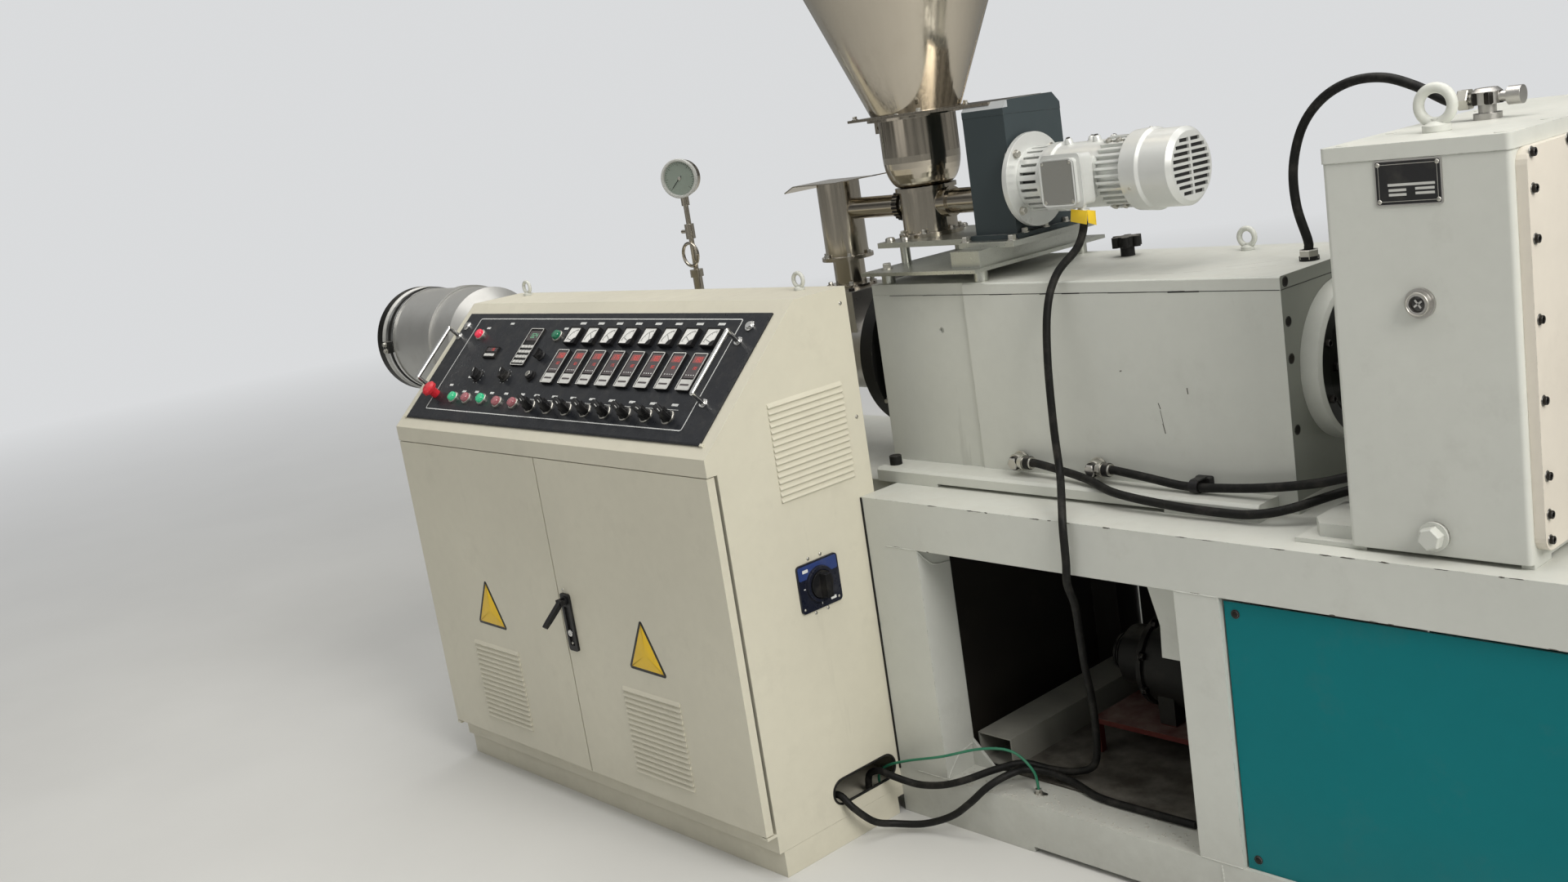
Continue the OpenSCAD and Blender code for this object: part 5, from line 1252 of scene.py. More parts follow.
@dataclass
class FrameTrim(SubAssembly):
    """Welds, panel screws, a painted shadow strip at the cabinet's edge, feet, pump trim and chipped paint of
    the frame.
    """

    bays: tuple[float, ...] = (0.0, 738.0, 1476.0)
    bay_w: float = 644.0
    low: float = 110.0
    high: float = 639.0

    def welds(self) -> Piece:
        """Ground seams where posts meet sill and top beam, and the open bay's inner corners."""
        seams = [weld([(691, 20, -0.5), (692, 60, -0.4), (690, 105, -0.5)], 2.4, 5).moved(FRONT_FACE)]
        edges = [(x + side * self.bay_w, 2 * side - 1) for x in self.bays for side in (0, 1)]
        for face, sign in ((FRONT_FACE, 1), (BACK_FACE, -1)):
            for edge, out in edges:
                for z in (self.low, self.high):
                    line = [(sign * (edge + out * s), z, -0.6) for s in (2, 30, 60, 90)]
                    seams.append(weld(line, 1.6, int(edge + z)).moved(face))
        for facing, x, across in ((Facing.RIGHT, 0.0, 1), (Facing.LEFT, self.bay_w, -1)):
            for z, rise in ((self.low, 1), (self.high, -1)):
                line = [(across * y, z + rise * h, 0.3) for y, h in ((2, 2), (22, 24), (48, 44), (94, 52))]
                seams.append(weld(line, 2.0, int(z)).moved(facing.at((x, 0, 0))))
        return Piece("frame_welds", "machine", "frame_paint", 60).add(Surface.joined(seams), FRAME_PAINT)

    def panel_screws(self) -> Piece:
        """Round-headed screws in the panels' corners on both sides."""
        front, back = Facing.FRONT.at((0.0, 10.0, 0.0)), Facing.BACK.at((0.0, 740.0, 0.0))
        xs = [x + 4 + u for x in self.bays[1:] for u in (22, 614)]
        screw = Surface.joined([puck(-0.5, 1.2, 8.5), pan_screw(6).moved(placed(np.eye(4), z=1.2))])
        places = grid_places(front, xs, (132, 609)) + grid_places(back, [-x for x in xs], (132, 609))
        return Piece("panel_screws", "machine", "steel").add(screw, BLACK_STEEL, places)

    def gap_shadow_strip(self) -> Piece:
        """Painted shadow: a black strip on the frame's front edge that stands for the shade in the gap between
        the cabinet and the frame.
        """
        gap_shadow = lofted(rounded(5, 640, 1.2), [(0, 0), (1.6, 0), (2.2, 0.6)])
        place = placed(FRONT_FACE, -147.5, 424)
        return Piece("gap_shadow_strip", "machine", "black_plastic").add(gap_shadow, RUBBER, place)

    def floor_bolts(self) -> Piece:
        """Round pads under the frame's feet, and the earth wire's lug with its bolt on the sill."""
        lug = Surface.joined([plate(30, 14, 1.6, 6), hex_bolt(13, 8, 2).moved(placed(np.eye(4), -8))])
        pad = turned([(0, 0), (0, 26), (8, 26), (11, 20), (11, 0)], 28)
        return (Piece("foot_bolts", "machine", "steel")
                .add(lug, ZINC, Facing.TOP.at((222, 50, 110.2)))
                .add(pad, BLACK_STEEL, tops((-80, 700, 1430, 2150), (48, 702), 0)))

    def pump(self) -> Piece:
        """Fins on the pump's motor and the bolts round its bell housing."""
        axis = Facing.RIGHT.at((210.0, 390.0, 310.0))
        return (Piece("pump_trim", "machine", "dark_steel")
                .add(collar(38, 43, 2, 36), CAST_BLACK, [placed(axis, z=z) for z in np.linspace(6, 30, 5)])
                .add(hex_bolt(15, 8), BLACK_STEEL, circle_places(axis, 100.5, 8, 22, 116))
                .add(hex_bolt(15, 8), BLACK_STEEL, circle_places(axis, 72, 6, 0, 338)))

    def chips(self, rng: np.random.Generator) -> Piece:
        """Chipped paint along the top beam's edges."""
        flakes = []
        for x in rng.uniform(-130, 2190, 46):
            edge = rng.choice([744.2, 639.8], p=[0.65, 0.35])
            width, height = rng.uniform(5, 30), rng.uniform(1.2, 3.4)
            flakes.append(flake(width, height, 0.12, rng).moved(placed(FRONT_FACE, x, edge)))
        return Piece("frame_chips").add(Surface.joined(flakes), CHIP_DARK)

    def crumbs(self, rng: np.random.Generator) -> Piece:
        """Dried filler crumbs on the open bay's sill."""
        heap = []
        for _ in range(150):
            x, y = rng.uniform(6, 636), rng.beta(1.2, 2.2) * 96 + 1
            size = rng.uniform(2, 8)
            heap.append(flake(size, size * rng.uniform(0.5, 1), rng.uniform(0.4, 1.8), rng).moved(
                placed(Facing.TOP.at((x, y, 109.95)), turn=rng.uniform(0, 360))))
        return Piece("filler_crumbs").add(Surface.joined(heap), FILLER_GREY)

    def pieces(self) -> Iterable[Piece]:
        """All of the frame's pieces; the chips and crumbs share one row of random draws."""
        rng = np.random.default_rng(11)
        yield from (self.welds(), self.panel_screws(), self.gap_shadow_strip(), self.floor_bolts(), self.pump())
        yield self.chips(rng)
        yield self.crumbs(rng)


@dataclass
class GearboxTrim(SubAssembly):
    """Distribution gearbox: hose unions, hose clip, seams, end screws, ring and hub bolts."""

    unions: tuple[float, ...] = (170.0, 369.0)
    joint: float = 1154.6
    end_face: float = 800.0

    def hose_unions(self) -> Piece:
        """Banjo bolts with washers on the front, ferrules and nuts on the hoses' ends."""
        eye = turned([(0, 0), (0, 17), (3, 18.5), (17, 18.5), (20, 17), (20, 0)], 32)
        head = turned([(20, 0), (20, 15.5), (22.5, 15.5), (22.5, 13.5), (30, 13.5), (32, 11.5), (32, 0)], 6)
        sleeve = turned([(14, 0), (14, 12.6), (22, 12.6), (22, 15.8), (27, 15.8), (27, 12.8), (41, 12.8),
                         (47, 12.2), (47, 0)], 28)
        nut = turned([(6, 0), (6, 17), (7.5, 18.4), (22.5, 18.4), (24, 17), (24, 0)], 6)
        spots = [Facing.FRONT.at((x, BOX_FRONT - 9, 804)) for x in self.unions]
        ends = [Facing.RIGHT.at(p) for p in ((953, 235, 806), (953, 172, 836), (1060, 330, 1438))]
        return (Piece("hose_unions", "machine", "steel")
                .add(Surface.joined([eye, puck(-0.4, 1.8, 21, 36)]), ZINC, spots)
                .add(head, STEEL, spots)
                .add(sleeve, ZINC, [Facing.RIGHT.at((x, 154, 807)) for x in self.unions])
                .add(nut, ZINC, [*ends, Facing.TOP.at((762, 350, LID_TOP - 4))]))

    def clip(self) -> Piece:
        """Black clip that holds the upper hose to the box."""
        base = Facing.FRONT.at((610.0, BOX_FRONT, 792.0))
        a = np.radians(np.linspace(-100, 100, 15))
        strap = np.column_stack([np.zeros(15), 11.5 * np.sin(a), 34 + 11.5 * np.cos(a)])
        strap = np.vstack([[0, -11.4, 6], strap, [0, 11.4, 6]])
        return (Piece("hose_clip", "machine", "black_plastic")
                .add(lofted(rounded(36, 24, 4), [(0, 0), (8, 0), (12, 2)]), BLACK, base)
                .add(swept(strap, strip(2.8, 18)), BLACK, base))

    def seams(self) -> Piece:
        """Dark joint under the lid on three sides, with chipped filler in its front."""
        def line(start: float, end: float) -> Surface:
            """The joint between two places along a face."""
            return bar((start, self.joint), (end, self.joint), 1.2, 0.25)

        chips = [bar((x, self.joint - 0.4), (x + w, self.joint), h, 0.3)
                 for x, w, h in ((262, 26, 2.6), (318, 44, 2.2), (566, 38, 3.2), (604, 30, 2.6), (130, 60, 1.8),
                                 (430, 90, 1.6), (-60, 40, 1.5))]
        return (Piece("lid_seam")
                .add(Surface.joined([line(-160, 798), *chips]), PRINT_BLACK,
                     Facing.FRONT.at((0, BOX_FRONT, 0)))
                .add(line(184, 566), PRINT_BLACK, Facing.RIGHT.at((self.end_face, 0, 0)))
                .add(line(-798, 160), PRINT_BLACK, Facing.BACK.at((0, 566.0, 0))))

    def screws(self) -> Piece:
        """Cap screws in the end face, in the bearing ring and in the hub, and the flange screws."""
        end = Facing.RIGHT.at((self.end_face, 0, 0))
        sunk = turned([(-0.5, 0), (-0.5, 9.5), (0.8, 9.5), (1.0, 8.2), (0.4, 7.6), (0.4, 4.4), (0.1, 0)], 24)
        piece = Piece("gearbox_screws", "machine", "dark_steel")
        piece.add(sunk, BLACK_STEEL, grid_places(end, (200, 550), (1167, 1096, 1029, 899)))
        for facing, x, size, radius, first in ((Facing.RIGHT, 840.0, (7.5, 8), 132, 22.5),
                                               (Facing.RIGHT, 832.0, (9.5, 9), 86, 0),
                                               (Facing.LEFT, 957.0, (8.5, 9), 121, 22.5)):
            piece.add(socket_bolt(*size), BLACK_STEEL, circle_places(on_axis(facing, x), radius, 8, first))
        recess = turned([(19.5, 13.6), (21, 12.6), (21, 8), (20.2, 7.4), (20.2, 0)], 24)
        piece.add(recess, BLACK_STEEL, tops((-178,), (150,), 777))
        return piece.add(hex_bolt(30, 15, 4), ZINC, tops((560, 60, -140), (600,), 777))

    def scratches(self) -> Piece:
        """Short scratches on the lid and scuffs on the box's front."""
        lines = [bar(start, end, width, 0.1) for start, end, width in (
            ((620, 300), (700, 360), 1.1), ((640, 268), (724, 300), 0.8), ((560, 250), (600, 262), 0.9),
            ((470, 240), (540, 246), 0.9), ((100, 232), (182, 240), 0.8))]
        chips = [bar(start, end, width, 0.15) for start, end, width in (
            ((438, 1000), (443, 1001), 2.5), ((520, 940), (524, 928), 2.2), ((523, 926), (527, 900), 1.4),
            ((526, 900), (530, 880), 2.4), ((588, 972), (589, 960), 2.6))]
        return (Piece("lid_scratches")
                .add(Surface.joined(lines), SCRATCH_GREY, Facing.TOP.at((0, 0, LID_TOP)))
                .add(Surface.joined(chips), SCUFF_DARK, Facing.FRONT.at((0, BOX_FRONT, 0))))

    def pieces(self) -> Iterable[Piece]:
        """All of the gearbox's pieces."""
        return (make() for make in (self.hose_unions, self.clip, self.seams, self.screws, self.scratches))


@dataclass
class ReducerTrim(SubAssembly):
    """Upright gear case: cover screws, bare plate, sight glass and plug."""

    front_y: float = 35.0
    middle_x: float = 1126.0

    def cover(self) -> Piece:
        """Cap screws with bright washers all round the painted side cover."""
        face = Facing.RIGHT.at((1290.0, 0, 0))
        places = grid_places(face, (63, 687), (1372, 1320, 1247, 1128, 1006, 890, 830, 790))
        places += grid_places(face, (188, 312, 437, 562), (1375, 790))
        return (Piece("cover_screws", "machine", "steel")
                .add(socket_bolt(6.5, 7), BLACK_STEEL, places)
                .add(puck(-0.5, 0.9, 8.6), ZINC, places))

    def front(self) -> Piece:
        """Bare black plate with four rivets, the sight glass's disc and the plug's hexagon."""
        face = Facing.FRONT.at((1119, self.front_y, 1344))
        glass = Facing.FRONT.at((self.middle_x, self.front_y + 2, 1159.0))
        plug = Facing.FRONT.at((self.middle_x, self.front_y - 6, 787.0))
        piece = Piece("reducer_front_trim")
        piece.add(plate(101, 65, 0.5, 3), PRINT_BLACK, face)
        piece.add(rim(92, 56, 2, 0.8, 0.15, 0.45), ZINC, face)
        piece.add(pan_screw(3.6), ZINC, grid_places(face, (-46.5, 46.5), (-28, 28), 0.4))
        for u, v, width in ((5, -3, 74), (-17, -11, 28), (-17, -18, 28), (26, -10, 30), (26, -17, 30)):
            piece.add(plate(width, 4, 0.15, 0.4), FRAME_GREY, placed(face, u, v, 0.45))
        piece.add(turned([(0, 0), (0, 12), (9.4, 12), (9.8, 10), (9.9, 0)], 32), SIGHT_GLASS, glass)
        piece.add(bar((-8, 0), (8, 0), 3, 0.4, 9.8), FRAME_GREY, [placed(glass, turn=t) for t in (35, 125)])
        piece.add(hoop(17.5, 1.6, 40, 13.6), ZINC, glass)
        return piece.add(hex_bolt(34, 17, 3), FRAME_PAINT, plug)

    def top(self) -> Piece:
        """Flush lid screws and the filter's hexagon."""
        nut = turned([(24, 0), (24, 26), (26, 27), (42, 27), (44, 26), (44, 0)], 6)
        return (Piece("reducer_top_trim", "machine", "steel")
                .add(puck(-0.5, 0.7, 9), FRAME_PAINT, tops((1003, 1249), (62, 218, 375, 532, 688), 1404.0))
                .add(nut, BLACK_STEEL, Facing.TOP.at((1110, 330, 1404))))

    def pieces(self) -> Iterable[Piece]:
        """All of the gear case's pieces."""
        return (make() for make in (self.cover, self.front, self.top))


@dataclass
class MainMotorTrim(SubAssembly):
    """Main motor: shield and feet bolts, terminal box screws and glands, and a black disc behind the fan slots
    that paints the shade in the cowl.
    """

    shield: float = 1461.0
    cowl: float = 2153.0
    box: Pair = (1693.0, 1310.0)

    def pieces(self) -> Iterable[Piece]:
        """The motor's one piece of trim."""
        lid = Facing.TOP.at((self.box[0], AXIS_Y, self.box[1]))
        gland = Facing.FRONT.at((self.box[0], AXIS_Y - 90, self.box[1] - 65))
        cowl = on_axis(Facing.RIGHT, self.cowl)
        yield (Piece("main_motor_trim", "machine", "steel")
               .add(hex_bolt(16, 9), ZINC, circle_places(on_axis(Facing.LEFT, self.shield), 130, 6, 30))
               .add(hex_bolt(27, 14, 4), ZINC, tops((1560, 1890), (216, 534), 767))
               .add(pan_screw(5), ZINC, grid_places(lid, (-88, 88), (-78, 78)))
               .add(hex_bolt(34, 16, 4), BLACK, grid_places(gland, (-40, 40), (0,)))
               # Black disc behind the cowl's slots: painted shade inside the cowl.
               .add(puck(-6.4, -5.6, 168, 64), PRINT_BLACK, cowl)
               .add(pan_screw(6), ZINC, shell_places(placed(cowl, z=-100), 210, (45, 135, 225, 315)))
               .add(hex_bolt(15, 9, 2.5), ZINC, circle_places(on_axis(Facing.RIGHT, 1387.0), 68, 6)))


# Barrel, die and feeder


@dataclass
class BarrelTrim(SubAssembly):
    """Heater clamps and terminals, flange screws, gauge face, die bands and bolts."""

    zones: tuple[Pair, ...] = ((-1677, -1139), (-1019, -577))
    band_gap: float = 40.0
    gauge_x: float = -1079.0

    def clamps(self) -> Piece:
        """Two clamp straps with their screws and a terminal cover on each heater band."""
        piece = Piece("heater_clamps", "machine", "steel")
        for low, high in self.zones:
            length = (high - low - self.band_gap) / 2
            for x in (low, low + length + self.band_gap):
                for u in (26, length - 26):
                    piece.add(collar(120.4, 122, 14, 72), BANDS, on_axis(Facing.RIGHT, x + u - 7))
                    lug = Facing.BACK.at((x + u, AXIS_Y + 82, AXIS_Z + 88))
                    piece.add(hex_bolt(10, 30, 2), ZINC, lug)
                cover = Facing.FRONT.at((x + length / 2, AXIS_Y - 28, AXIS_Z - 135))
                piece.add(plate(52, 22, 1.5, 3), BANDS, cover)
                piece.add(pan_screw(3), ZINC, grid_places(cover, (-19, 19), (0,), 1.4))
        return piece

    def flange(self) -> Piece:
        """Cap screws round the black flange, the white bar on it and the small fitting."""
        fitting = Surface.joined([hex_bolt(18, 10, 2), stud(5, 22)])
        return (Piece("barrel_flange_screws", "machine", "dark_steel")
                .add(socket_bolt(11, 12), BLACK_STEEL,
                     circle_places(on_axis(Facing.LEFT, -292.0), 156, 10, 18))
                .add(plate(30, 60, 8, 2), FRAME_GREY, Facing.TOP.at((-272.0, AXIS_Y, AXIS_Z + 180)))
                .add(fitting, ZINC, Facing.FRONT.at((-246.0, 232.0, 905.0))))

    def gauge(self) -> Piece:
        """Dial with its scale and needle behind the gauge's ring, and the pipe's loop below it."""
        c, s = math.cos(math.radians(27)), math.sin(math.radians(27))
        face = np.eye(4)
        face[:3] = np.column_stack([(c, s, 0), (0, 0, 1), (s, -c, 0), (self.gauge_x, AXIS_Y, 1449.0)])
        bezel = turned([(9, 44.5), (9, 52.4), (17, 52.8), (19, 51), (19, 46.5), (15, 44.5), (9, 44.5)], 64)
        hub = turned([(12.4, 0), (12.4, 5), (15, 5), (15.5, 4), (15.5, 0)], 20)
        marks = [spoke(225 - 9 * i, 38 if i % 5 else 34, 42, 1, 0.2, 12.5) for i in range(31)]
        return (Piece("gauge_face")
                .add(puck(11, 12.5, 45.5, 48), DIAL_GREEN, face)
                .add(bezel, BEZEL, face)
                .add(hoop(31, 4.6), STAINLESS, Facing.FRONT.at((self.gauge_x, AXIS_Y - 11, 1243.0)))
                .add(Surface.joined(marks), PRINT_BLACK, face)
                .add(spoke(225, -9, 33, 2, 0.4, 13), PRINT_BLACK, face)
                .add(hub, ZINC, face))

    def die(self) -> Piece:
        """Black clamp between the two bright rings with its lug, and the screws of ring and flanges."""
        lug = Facing.FRONT.at((-2607.0, AXIS_Y - 180, AXIS_Z + 6))
        bands = [on_axis(Facing.RIGHT, x) for x in (-2632.0, -2600.0)]
        return (Piece("die_trim", "machine", "steel")
                .add(socket_bolt(9, 10), BLACK_STEEL,
                     circle_places(on_axis(Facing.LEFT, -2687.5), 166, 12, 15))
                .add(collar(172.5, 176, 18, 96), CHROME, bands)
                .add(collar(172.5, 178, 12, 96), CAST_BLACK, on_axis(Facing.RIGHT, -2613.0))
                .add(plate(34, 40, 22, 3), CAST_BLACK, placed(lug, z=-10))
                .add(hex_bolt(13, 8), ZINC, grid_places(lug, (0,), (-11, 11), 12))
                .add(socket_bolt(9, 10), BLACK_STEEL, circle_places(on_axis(Facing.LEFT, -1763.0), 124, 10))
                .add(hex_bolt(18, 12), ZINC, circle_places(on_axis(Facing.RIGHT, -1691.0), 124, 10)))

    def pieces(self) -> Iterable[Piece]:
        """All of the barrel's and the die's pieces."""
        return (make() for make in (self.clamps, self.flange, self.gauge, self.die))


@dataclass
class FeederTrim(SubAssembly):
    """Screws, ribs, black grille floors that paint the shade in the slots, seams and tag of the feeder, its
    motor and the hopper.
    """

    bowl: Pair = (-190.0, 375.0)
    motor: Point = (155.0, 321.0, 1371.0)
    outlet: Pair = (-477.0, 375.0)

    def motor_trim(self) -> Piece:
        """Black floors under the slots that paint the shade in them, disc screws, box lid, bosses and screws on
        the shell.
        """
        axis = Facing.RIGHT.at(self.motor)
        lid = Facing.FRONT.at((331.0, 194.0, 1371.0))
        boss = turned([(-3, 0), (-3, 9), (5, 8), (7.5, 6), (8, 0)], 24)
        bosses = [shell_places(placed(axis, z=z), 68.5, (angle,))[0]
                  for angle, z in ((52, 128), (75, 160), (98, 122), (66, 205), (96, 190))]
        ribs = [place for z in (238, 262)
                for place in shell_places(placed(axis, z=z), 67, (60, 118, 242, 298))]
        return (Piece("feeder_motor_trim", "machine", "steel")
                # Black discs under the body's slots and behind the cowl's slots: painted shade.
                .add(puck(28, 74, 54.4, 48), PRINT_BLACK, axis)
                .add(puck(391.6, 392.2, 62, 48), PRINT_BLACK, axis)
                .add(hex_bolt(13, 8), ZINC, circle_places(axis, 82, 4, 45, 22))
                .add(stud(5.5, 26), ZINC, circle_places(axis, 82, 4, 45, -2))
                .add(pan_screw(3.6), ZINC, grid_places(lid, (-33, 33), (-38, 38)))
                .add(rim(80, 90, 9, 2.2, 1.2), PRINT_WHITE, lid)
                .add(plate(74, 84, 0.5, 7), LID_GREY, lid)
                .add(boss, SILVER_PAINT, bosses)
                .add(socket_bolt(4, 3), BLACK_STEEL, [placed(place, z=7) for place in bosses])
                .add(hex_bolt(11, 7, 2), ZINC, ribs)
                .add(pan_screw(3.8), ZINC, shell_places(placed(axis, z=305), 79.6, (80, 200, 320))))

    def tag(self) -> Piece:
        """Yellow tape folded round the feeder cable, in two facets."""
        steps = [(0, 0), (1.2, 0), (1.4, 0.3)]
        fold = lofted(np.array([(-20, -12), (18, -14), (20, 13), (-19, 12)], float), steps)
        wing = lofted(np.array([(0, -12), (24, -20), (25, 8), (0, 13)], float), steps)
        return (Piece("cable_tag")
                .add(fold, TAG_YELLOW, Facing.FRONT.at((366.0, 205.0, 1302.0), -8))
                .add(wing, TAG_YELLOW, Facing.RIGHT.at((385.0, 206.0, 1300.0))))

    def stand(self) -> Piece:
        """Round-headed bolts on the shelf, the case's foot screws and the spacers' nuts."""
        knob = turned([(-1, 0), (-1, 11), (6, 11), (9, 9), (10, 4), (10, 0)], 24)
        ring = circle_places(Facing.TOP.at((*self.bowl, 1262.0)), 67, 6, 0, 9)
        return (Piece("feeder_stand_screws", "machine", "steel")
                .add(hex_bolt(12, 7, 2), ZINC, ring)
                .add(knob, ZINC, tops((-226, -178), (275, 470), 1262.0))
                .add(hex_bolt(13, 8), ZINC, tops((38.5, 159.5), (284, 352, 420), 1267.0))
                .add(hex_bolt(16, 10), ZINC, tops((33, 160), (241, 486), 1257.0))
                .add(hex_bolt(18, 11), ZINC, tops((-179, 93), (207, 543), 1211.0)))

    def case_cap(self) -> Piece:
        """The case's cap up to the hopper's plate, with a painted highlight on the bevel along its front edge.
        """
        section = np.array([(280, 1511), (440, 1503), (449.4, 1503), (449.4, 1517.6), (427, 1539.6),
                            (280, 1539.6), (264.6, 1525), (264.6, 1511)], float)
        cap, side = lofted(section, [(42.6, 0), (155.4, 0)]), Facing.RIGHT.at((0, 0, 0))
        return Piece("feeder_case_cap", "machine", "slate_paint", 20).add(cap, CAP_PAINT, side)

    def clamp_nut(self) -> Piece:
        """Ribbed clamp nut of the auger tube."""
        a = np.linspace(0, 2 * math.pi, 96, endpoint=False)
        r = 35.2 + 1.3 * np.sign(np.sin(24 * a))
        outline = np.column_stack([r * np.cos(a), r * np.sin(a)])
        nut = lofted(outline, [(-0.6, 0.8), (0.4, 0), (13, 0), (14.6, 1)])
        place = Facing.RIGHT.at((-274.0, 375.0, 1333.0))
        return Piece("feeder_clamp_nut", "machine", "dark_steel", 20).add(nut, BLACK_STEEL, place)

    def hopper_seams(self) -> Piece:
        """Welded seams down two sides of the hopper's cone and ring."""
        piece = Piece("hopper_seams", "machine", "stainless", 60)
        cone = ((103, 1542), (200, 1780), (300, 2022), (379, 2215))
        ring = ((380, 2228), (380, 2290), (380, 2360))
        for turn in (-150.0, 30.0):
            c, s = math.cos(math.radians(turn)), math.sin(math.radians(turn))
            for seed, line in ((3, cone), (4, ring)):
                path = [(self.bowl[0] + c * r, self.bowl[1] + s * r, z) for r, z in line]
                piece.add(weld(path, 1.5, seed), STAINLESS)
        return piece

    def chute(self) -> Piece:
        """Screws of the chute's flange, port and block, of the vent and of the hopper's plate."""
        flange, port, block = (Facing.TOP.at((*self.outlet, z)) for z in (1223.0, 1154.0, 1145.0))
        vent = Facing.TOP.at((-1079.0, 375.0, 1125.0))
        hopper_plate = Facing.TOP.at((*self.bowl, 1540.0))
        return (Piece("chute_screws", "machine", "steel")
                .add(hex_bolt(9, 6, 1.5), ZINC, circle_places(flange, 57.5, 6, 20))
                .add(hex_bolt(10, 7, 1.5), ZINC, circle_places(port, 51, 4, 45))
                .add(socket_bolt(7, 7), BLACK_STEEL, grid_places(block, (-68, 68), (-68, 68)))
                .add(socket_bolt(6, 6), BLACK_STEEL, grid_places(vent, (-38, 38), (-46, 46)))
                .add(hex_bolt(10, 6, 1.5), ZINC, grid_places(hopper_plate, (-102, 30, 96), (-93, 60))))

    def pieces(self) -> Iterable[Piece]:
        """All of the feeder's pieces."""
        return (make() for make in (self.motor_trim, self.tag, self.stand, self.case_cap, self.clamp_nut,
                                    self.hopper_seams, self.chute))


# Camera, floor and light


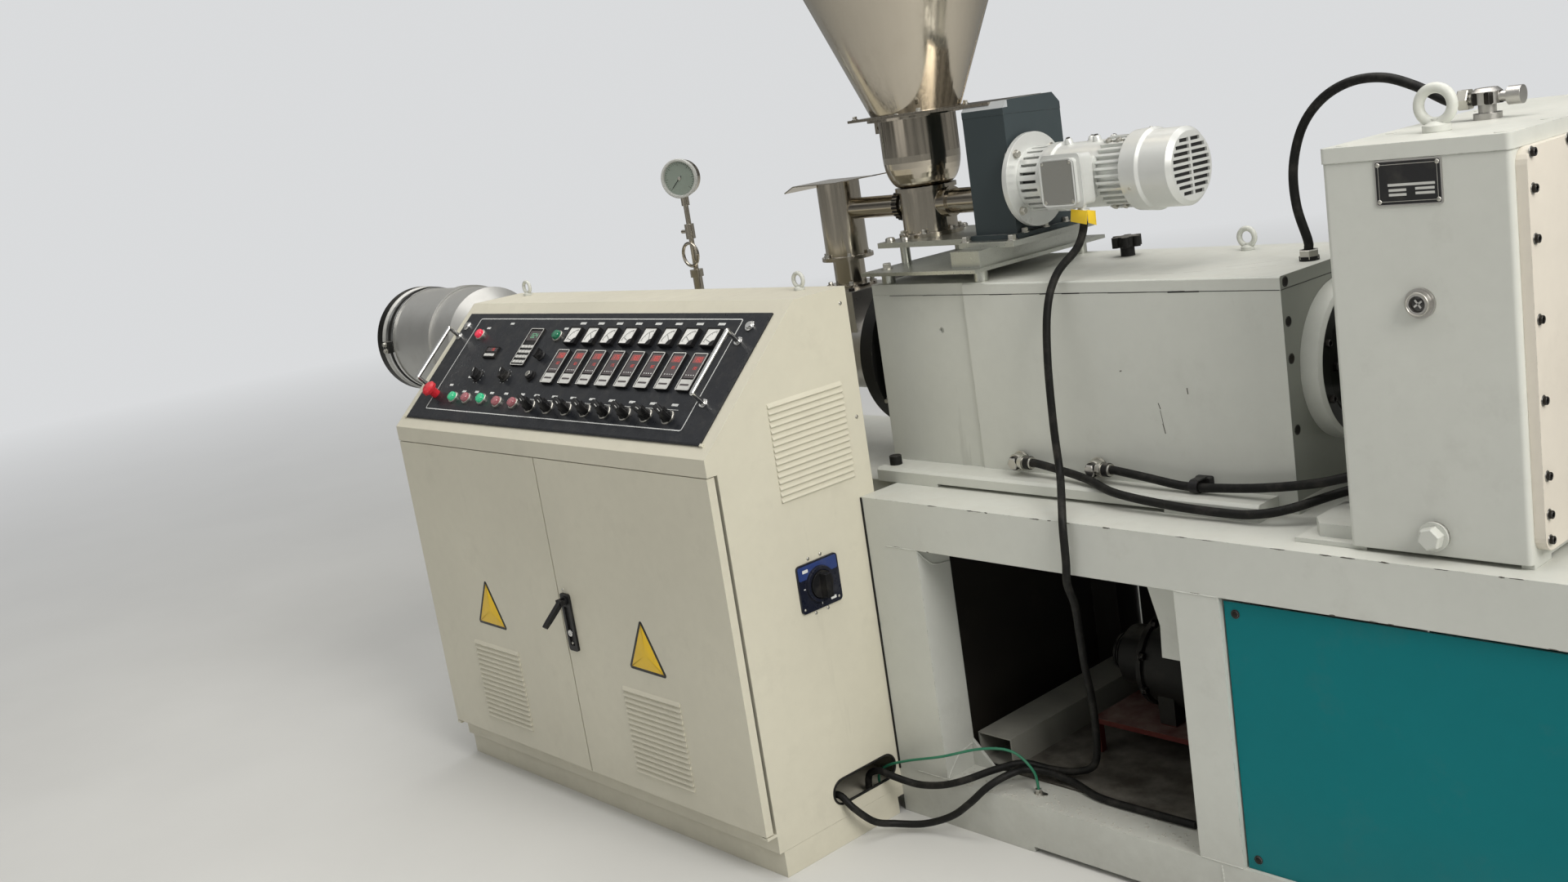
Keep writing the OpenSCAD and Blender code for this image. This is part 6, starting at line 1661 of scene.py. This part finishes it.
@dataclass(frozen=True)
class Studio:
    """The photograph's camera, a pale floor and plain soft light."""

    eye: Point = (2271.5, -2219.3, 1598.3)
    right: Point = (0.65944, 0.73648, -0.15080)
    up: Point = (-0.05967, 0.25125, 0.96608)
    back: Point = (0.74938, -0.62807, 0.20963)
    lens: float = 35.598
    sensor: float = 36.0
    pale: tuple[float, float, float, float] = (0.70, 0.71, 0.72, 1.0)
    reach: float = 30.0

    def camera(self) -> None:
        """Makes the camera from the photograph's measured place, axes and field of view."""
        data = bpy.data.cameras.new("photo_camera")
        data.sensor_width, data.lens, data.clip_end = self.sensor, self.lens, 200
        made = linked(bpy.data.objects.new("photo_camera", data))
        place = Matrix((self.right, self.up, self.back)).transposed().to_4x4()
        place.translation = Vector(SITE.metres(np.array([self.eye]))[0])
        made.matrix_world = place
        bpy.context.scene.camera = made

    def backed(self, nodes: Nodes, seen_pale: object, lit: bpy.types.NodeSocket, glow: str, end: str) -> None:
        """Shows the pale backdrop to the camera, by a share, and the lit surface to everything else.

        Args:
            nodes: the tree that the mixture is made in.
            seen_pale: share of the pale colour that the camera sees.
            lit: the shader that it is mixed with.
            glow: Blender's class name of the node that gives the pale colour.
            end: name of the tree's output node.
        """
        pale = nodes.node(glow, {"Color": self.pale}).outputs[0]
        mixture = nodes.node("ShaderNodeMixShader", {0: seen_pale, 1: lit, 2: pale}).outputs[0]
        nodes.feed(nodes.tree.nodes[end], {"Surface": mixture})

    def floor(self) -> None:
        """A large pale floor with a faint mottling that runs out into the backdrop's shade."""
        mesh = bpy.data.meshes.new("floor")
        corners = [(x * self.reach, y * self.reach, 0) for x, y in ((-1, -1), (1, -1), (1, 1), (-1, 1))]
        mesh.from_pydata(corners, [], [(0, 1, 2, 3)])
        nodes = Nodes(bpy.data.materials.new("floor_paint"))
        colour = nodes.mix(nodes.patches(1.3, 4), linear(206, 206, 203), linear(212, 212, 209))
        mesh.materials.append(nodes.done(colour, 0.6))
        far = nodes.node("ShaderNodeVectorMath", {0: nodes.where}, operation="LENGTH").outputs["Value"]
        share = nodes.times(self.seen(nodes), nodes.ramp(far, 3.0, 11.0))
        self.backed(nodes, share, nodes.shader.outputs[0], "ShaderNodeEmission", "Material Output")
        linked(bpy.data.objects.new("floor", mesh))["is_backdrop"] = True

    @staticmethod
    def seen(nodes: Nodes) -> bpy.types.NodeSocket:
        """1 for what the camera sees straight away, and 0 for reflections and light."""
        return nodes.node("ShaderNodeLightPath").outputs["Is Camera Ray"]

    def backdrop(self, world: bpy.types.World) -> None:
        """Light from all round, brighter overhead, and an even pale backdrop behind the machine.

        The light grows with the height of the direction, from a dim floor side over a grey horizon
        to a bright ceiling, times soft upright strips, so that bare metal has something to reflect.

        Args:
            world: the world that the backdrop and the light belong to.
        """
        nodes = Nodes(world, "Generated")
        rise = nodes.node("ShaderNodeValToRGB", {0: nodes.split(nodes.where, 2)})
        stops = rise.color_ramp.elements
        stops[0].position, stops[0].color = 0.0, (0.20, 0.195, 0.185, 1)
        stops[1].position, stops[1].color = 1.0, (0.62, 0.63, 0.64, 1)
        for position, shade in ((0.12, 0.30), (0.22, 0.16), (0.42, 0.24), (0.62, 0.50)):
            stops.new(position).color = (shade, shade, shade * 0.98, 1)
        strips = nodes.patches(5.6, 1.0, 0.5, (0.42, 0.60), (0.45, 1.5), (1.0, 1.0, 0.06))
        light = nodes.node("ShaderNodeVectorMath", {0: rise.outputs[0], "Scale": strips}, operation="SCALE")
        lit = nodes.tree.nodes["Background"]
        nodes.feed(lit, {"Color": light.outputs[0], "Strength": 0.95})
        self.backed(nodes, self.seen(nodes), lit.outputs[0], "ShaderNodeBackground", "World Output")

    def light(self) -> None:
        """The backdrop and three large soft lamps, brighter from the right and from above."""
        world = bpy.data.worlds.new("studio")
        bpy.context.scene.world = world
        self.backdrop(world)
        for name, place, aim, size, power in (
            ("key_lamp", (5.5, -1.0, 4.2), (0.3, 0.1, 0.8), 3.2, 260),
            ("top_lamp", (0.0, 0.6, 5.5), (0.0, 0.2, 0.8), 5.0, 170),
            ("front_lamp", (-1.5, -6.0, 3.0), (-0.4, 0.0, 0.8), 4.0, 22),
        ):
            data = bpy.data.lights.new(name, "AREA")
            data.size, data.energy, data.color = size, power, (1.0, 0.97, 0.925)
            lamp = linked(bpy.data.objects.new(name, data))
            lamp.location = place
            lamp.rotation_mode = "QUATERNION"
            lamp.rotation_quaternion = (Vector(aim) - Vector(place)).to_track_quat("-Z", "Y")
        bpy.context.scene.view_settings.view_transform = "Standard"

    def build(self) -> None:
        """Sets up camera, floor and light."""
        self.camera()
        self.floor()
        self.light()


def main() -> None:
    """Builds the sub-assemblies in order."""
    logging.basicConfig(level=logging.INFO, format="%(message)s")
    Studio().build()
    CordSet().build()
    dress_nodes()
    for part in (DeskInstruments(), CabinetTrim(), FrameTrim(), GearboxTrim(), ReducerTrim(), MainMotorTrim(),
                 BarrelTrim(), FeederTrim()):
        part.build()
    low, high = (tuple(corner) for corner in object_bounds())
    {"cad": [list(CAD_LOW), list(CAD_HIGH)], "visual": [list(low), list(high)]}


if __name__ == "__main__":
    main()
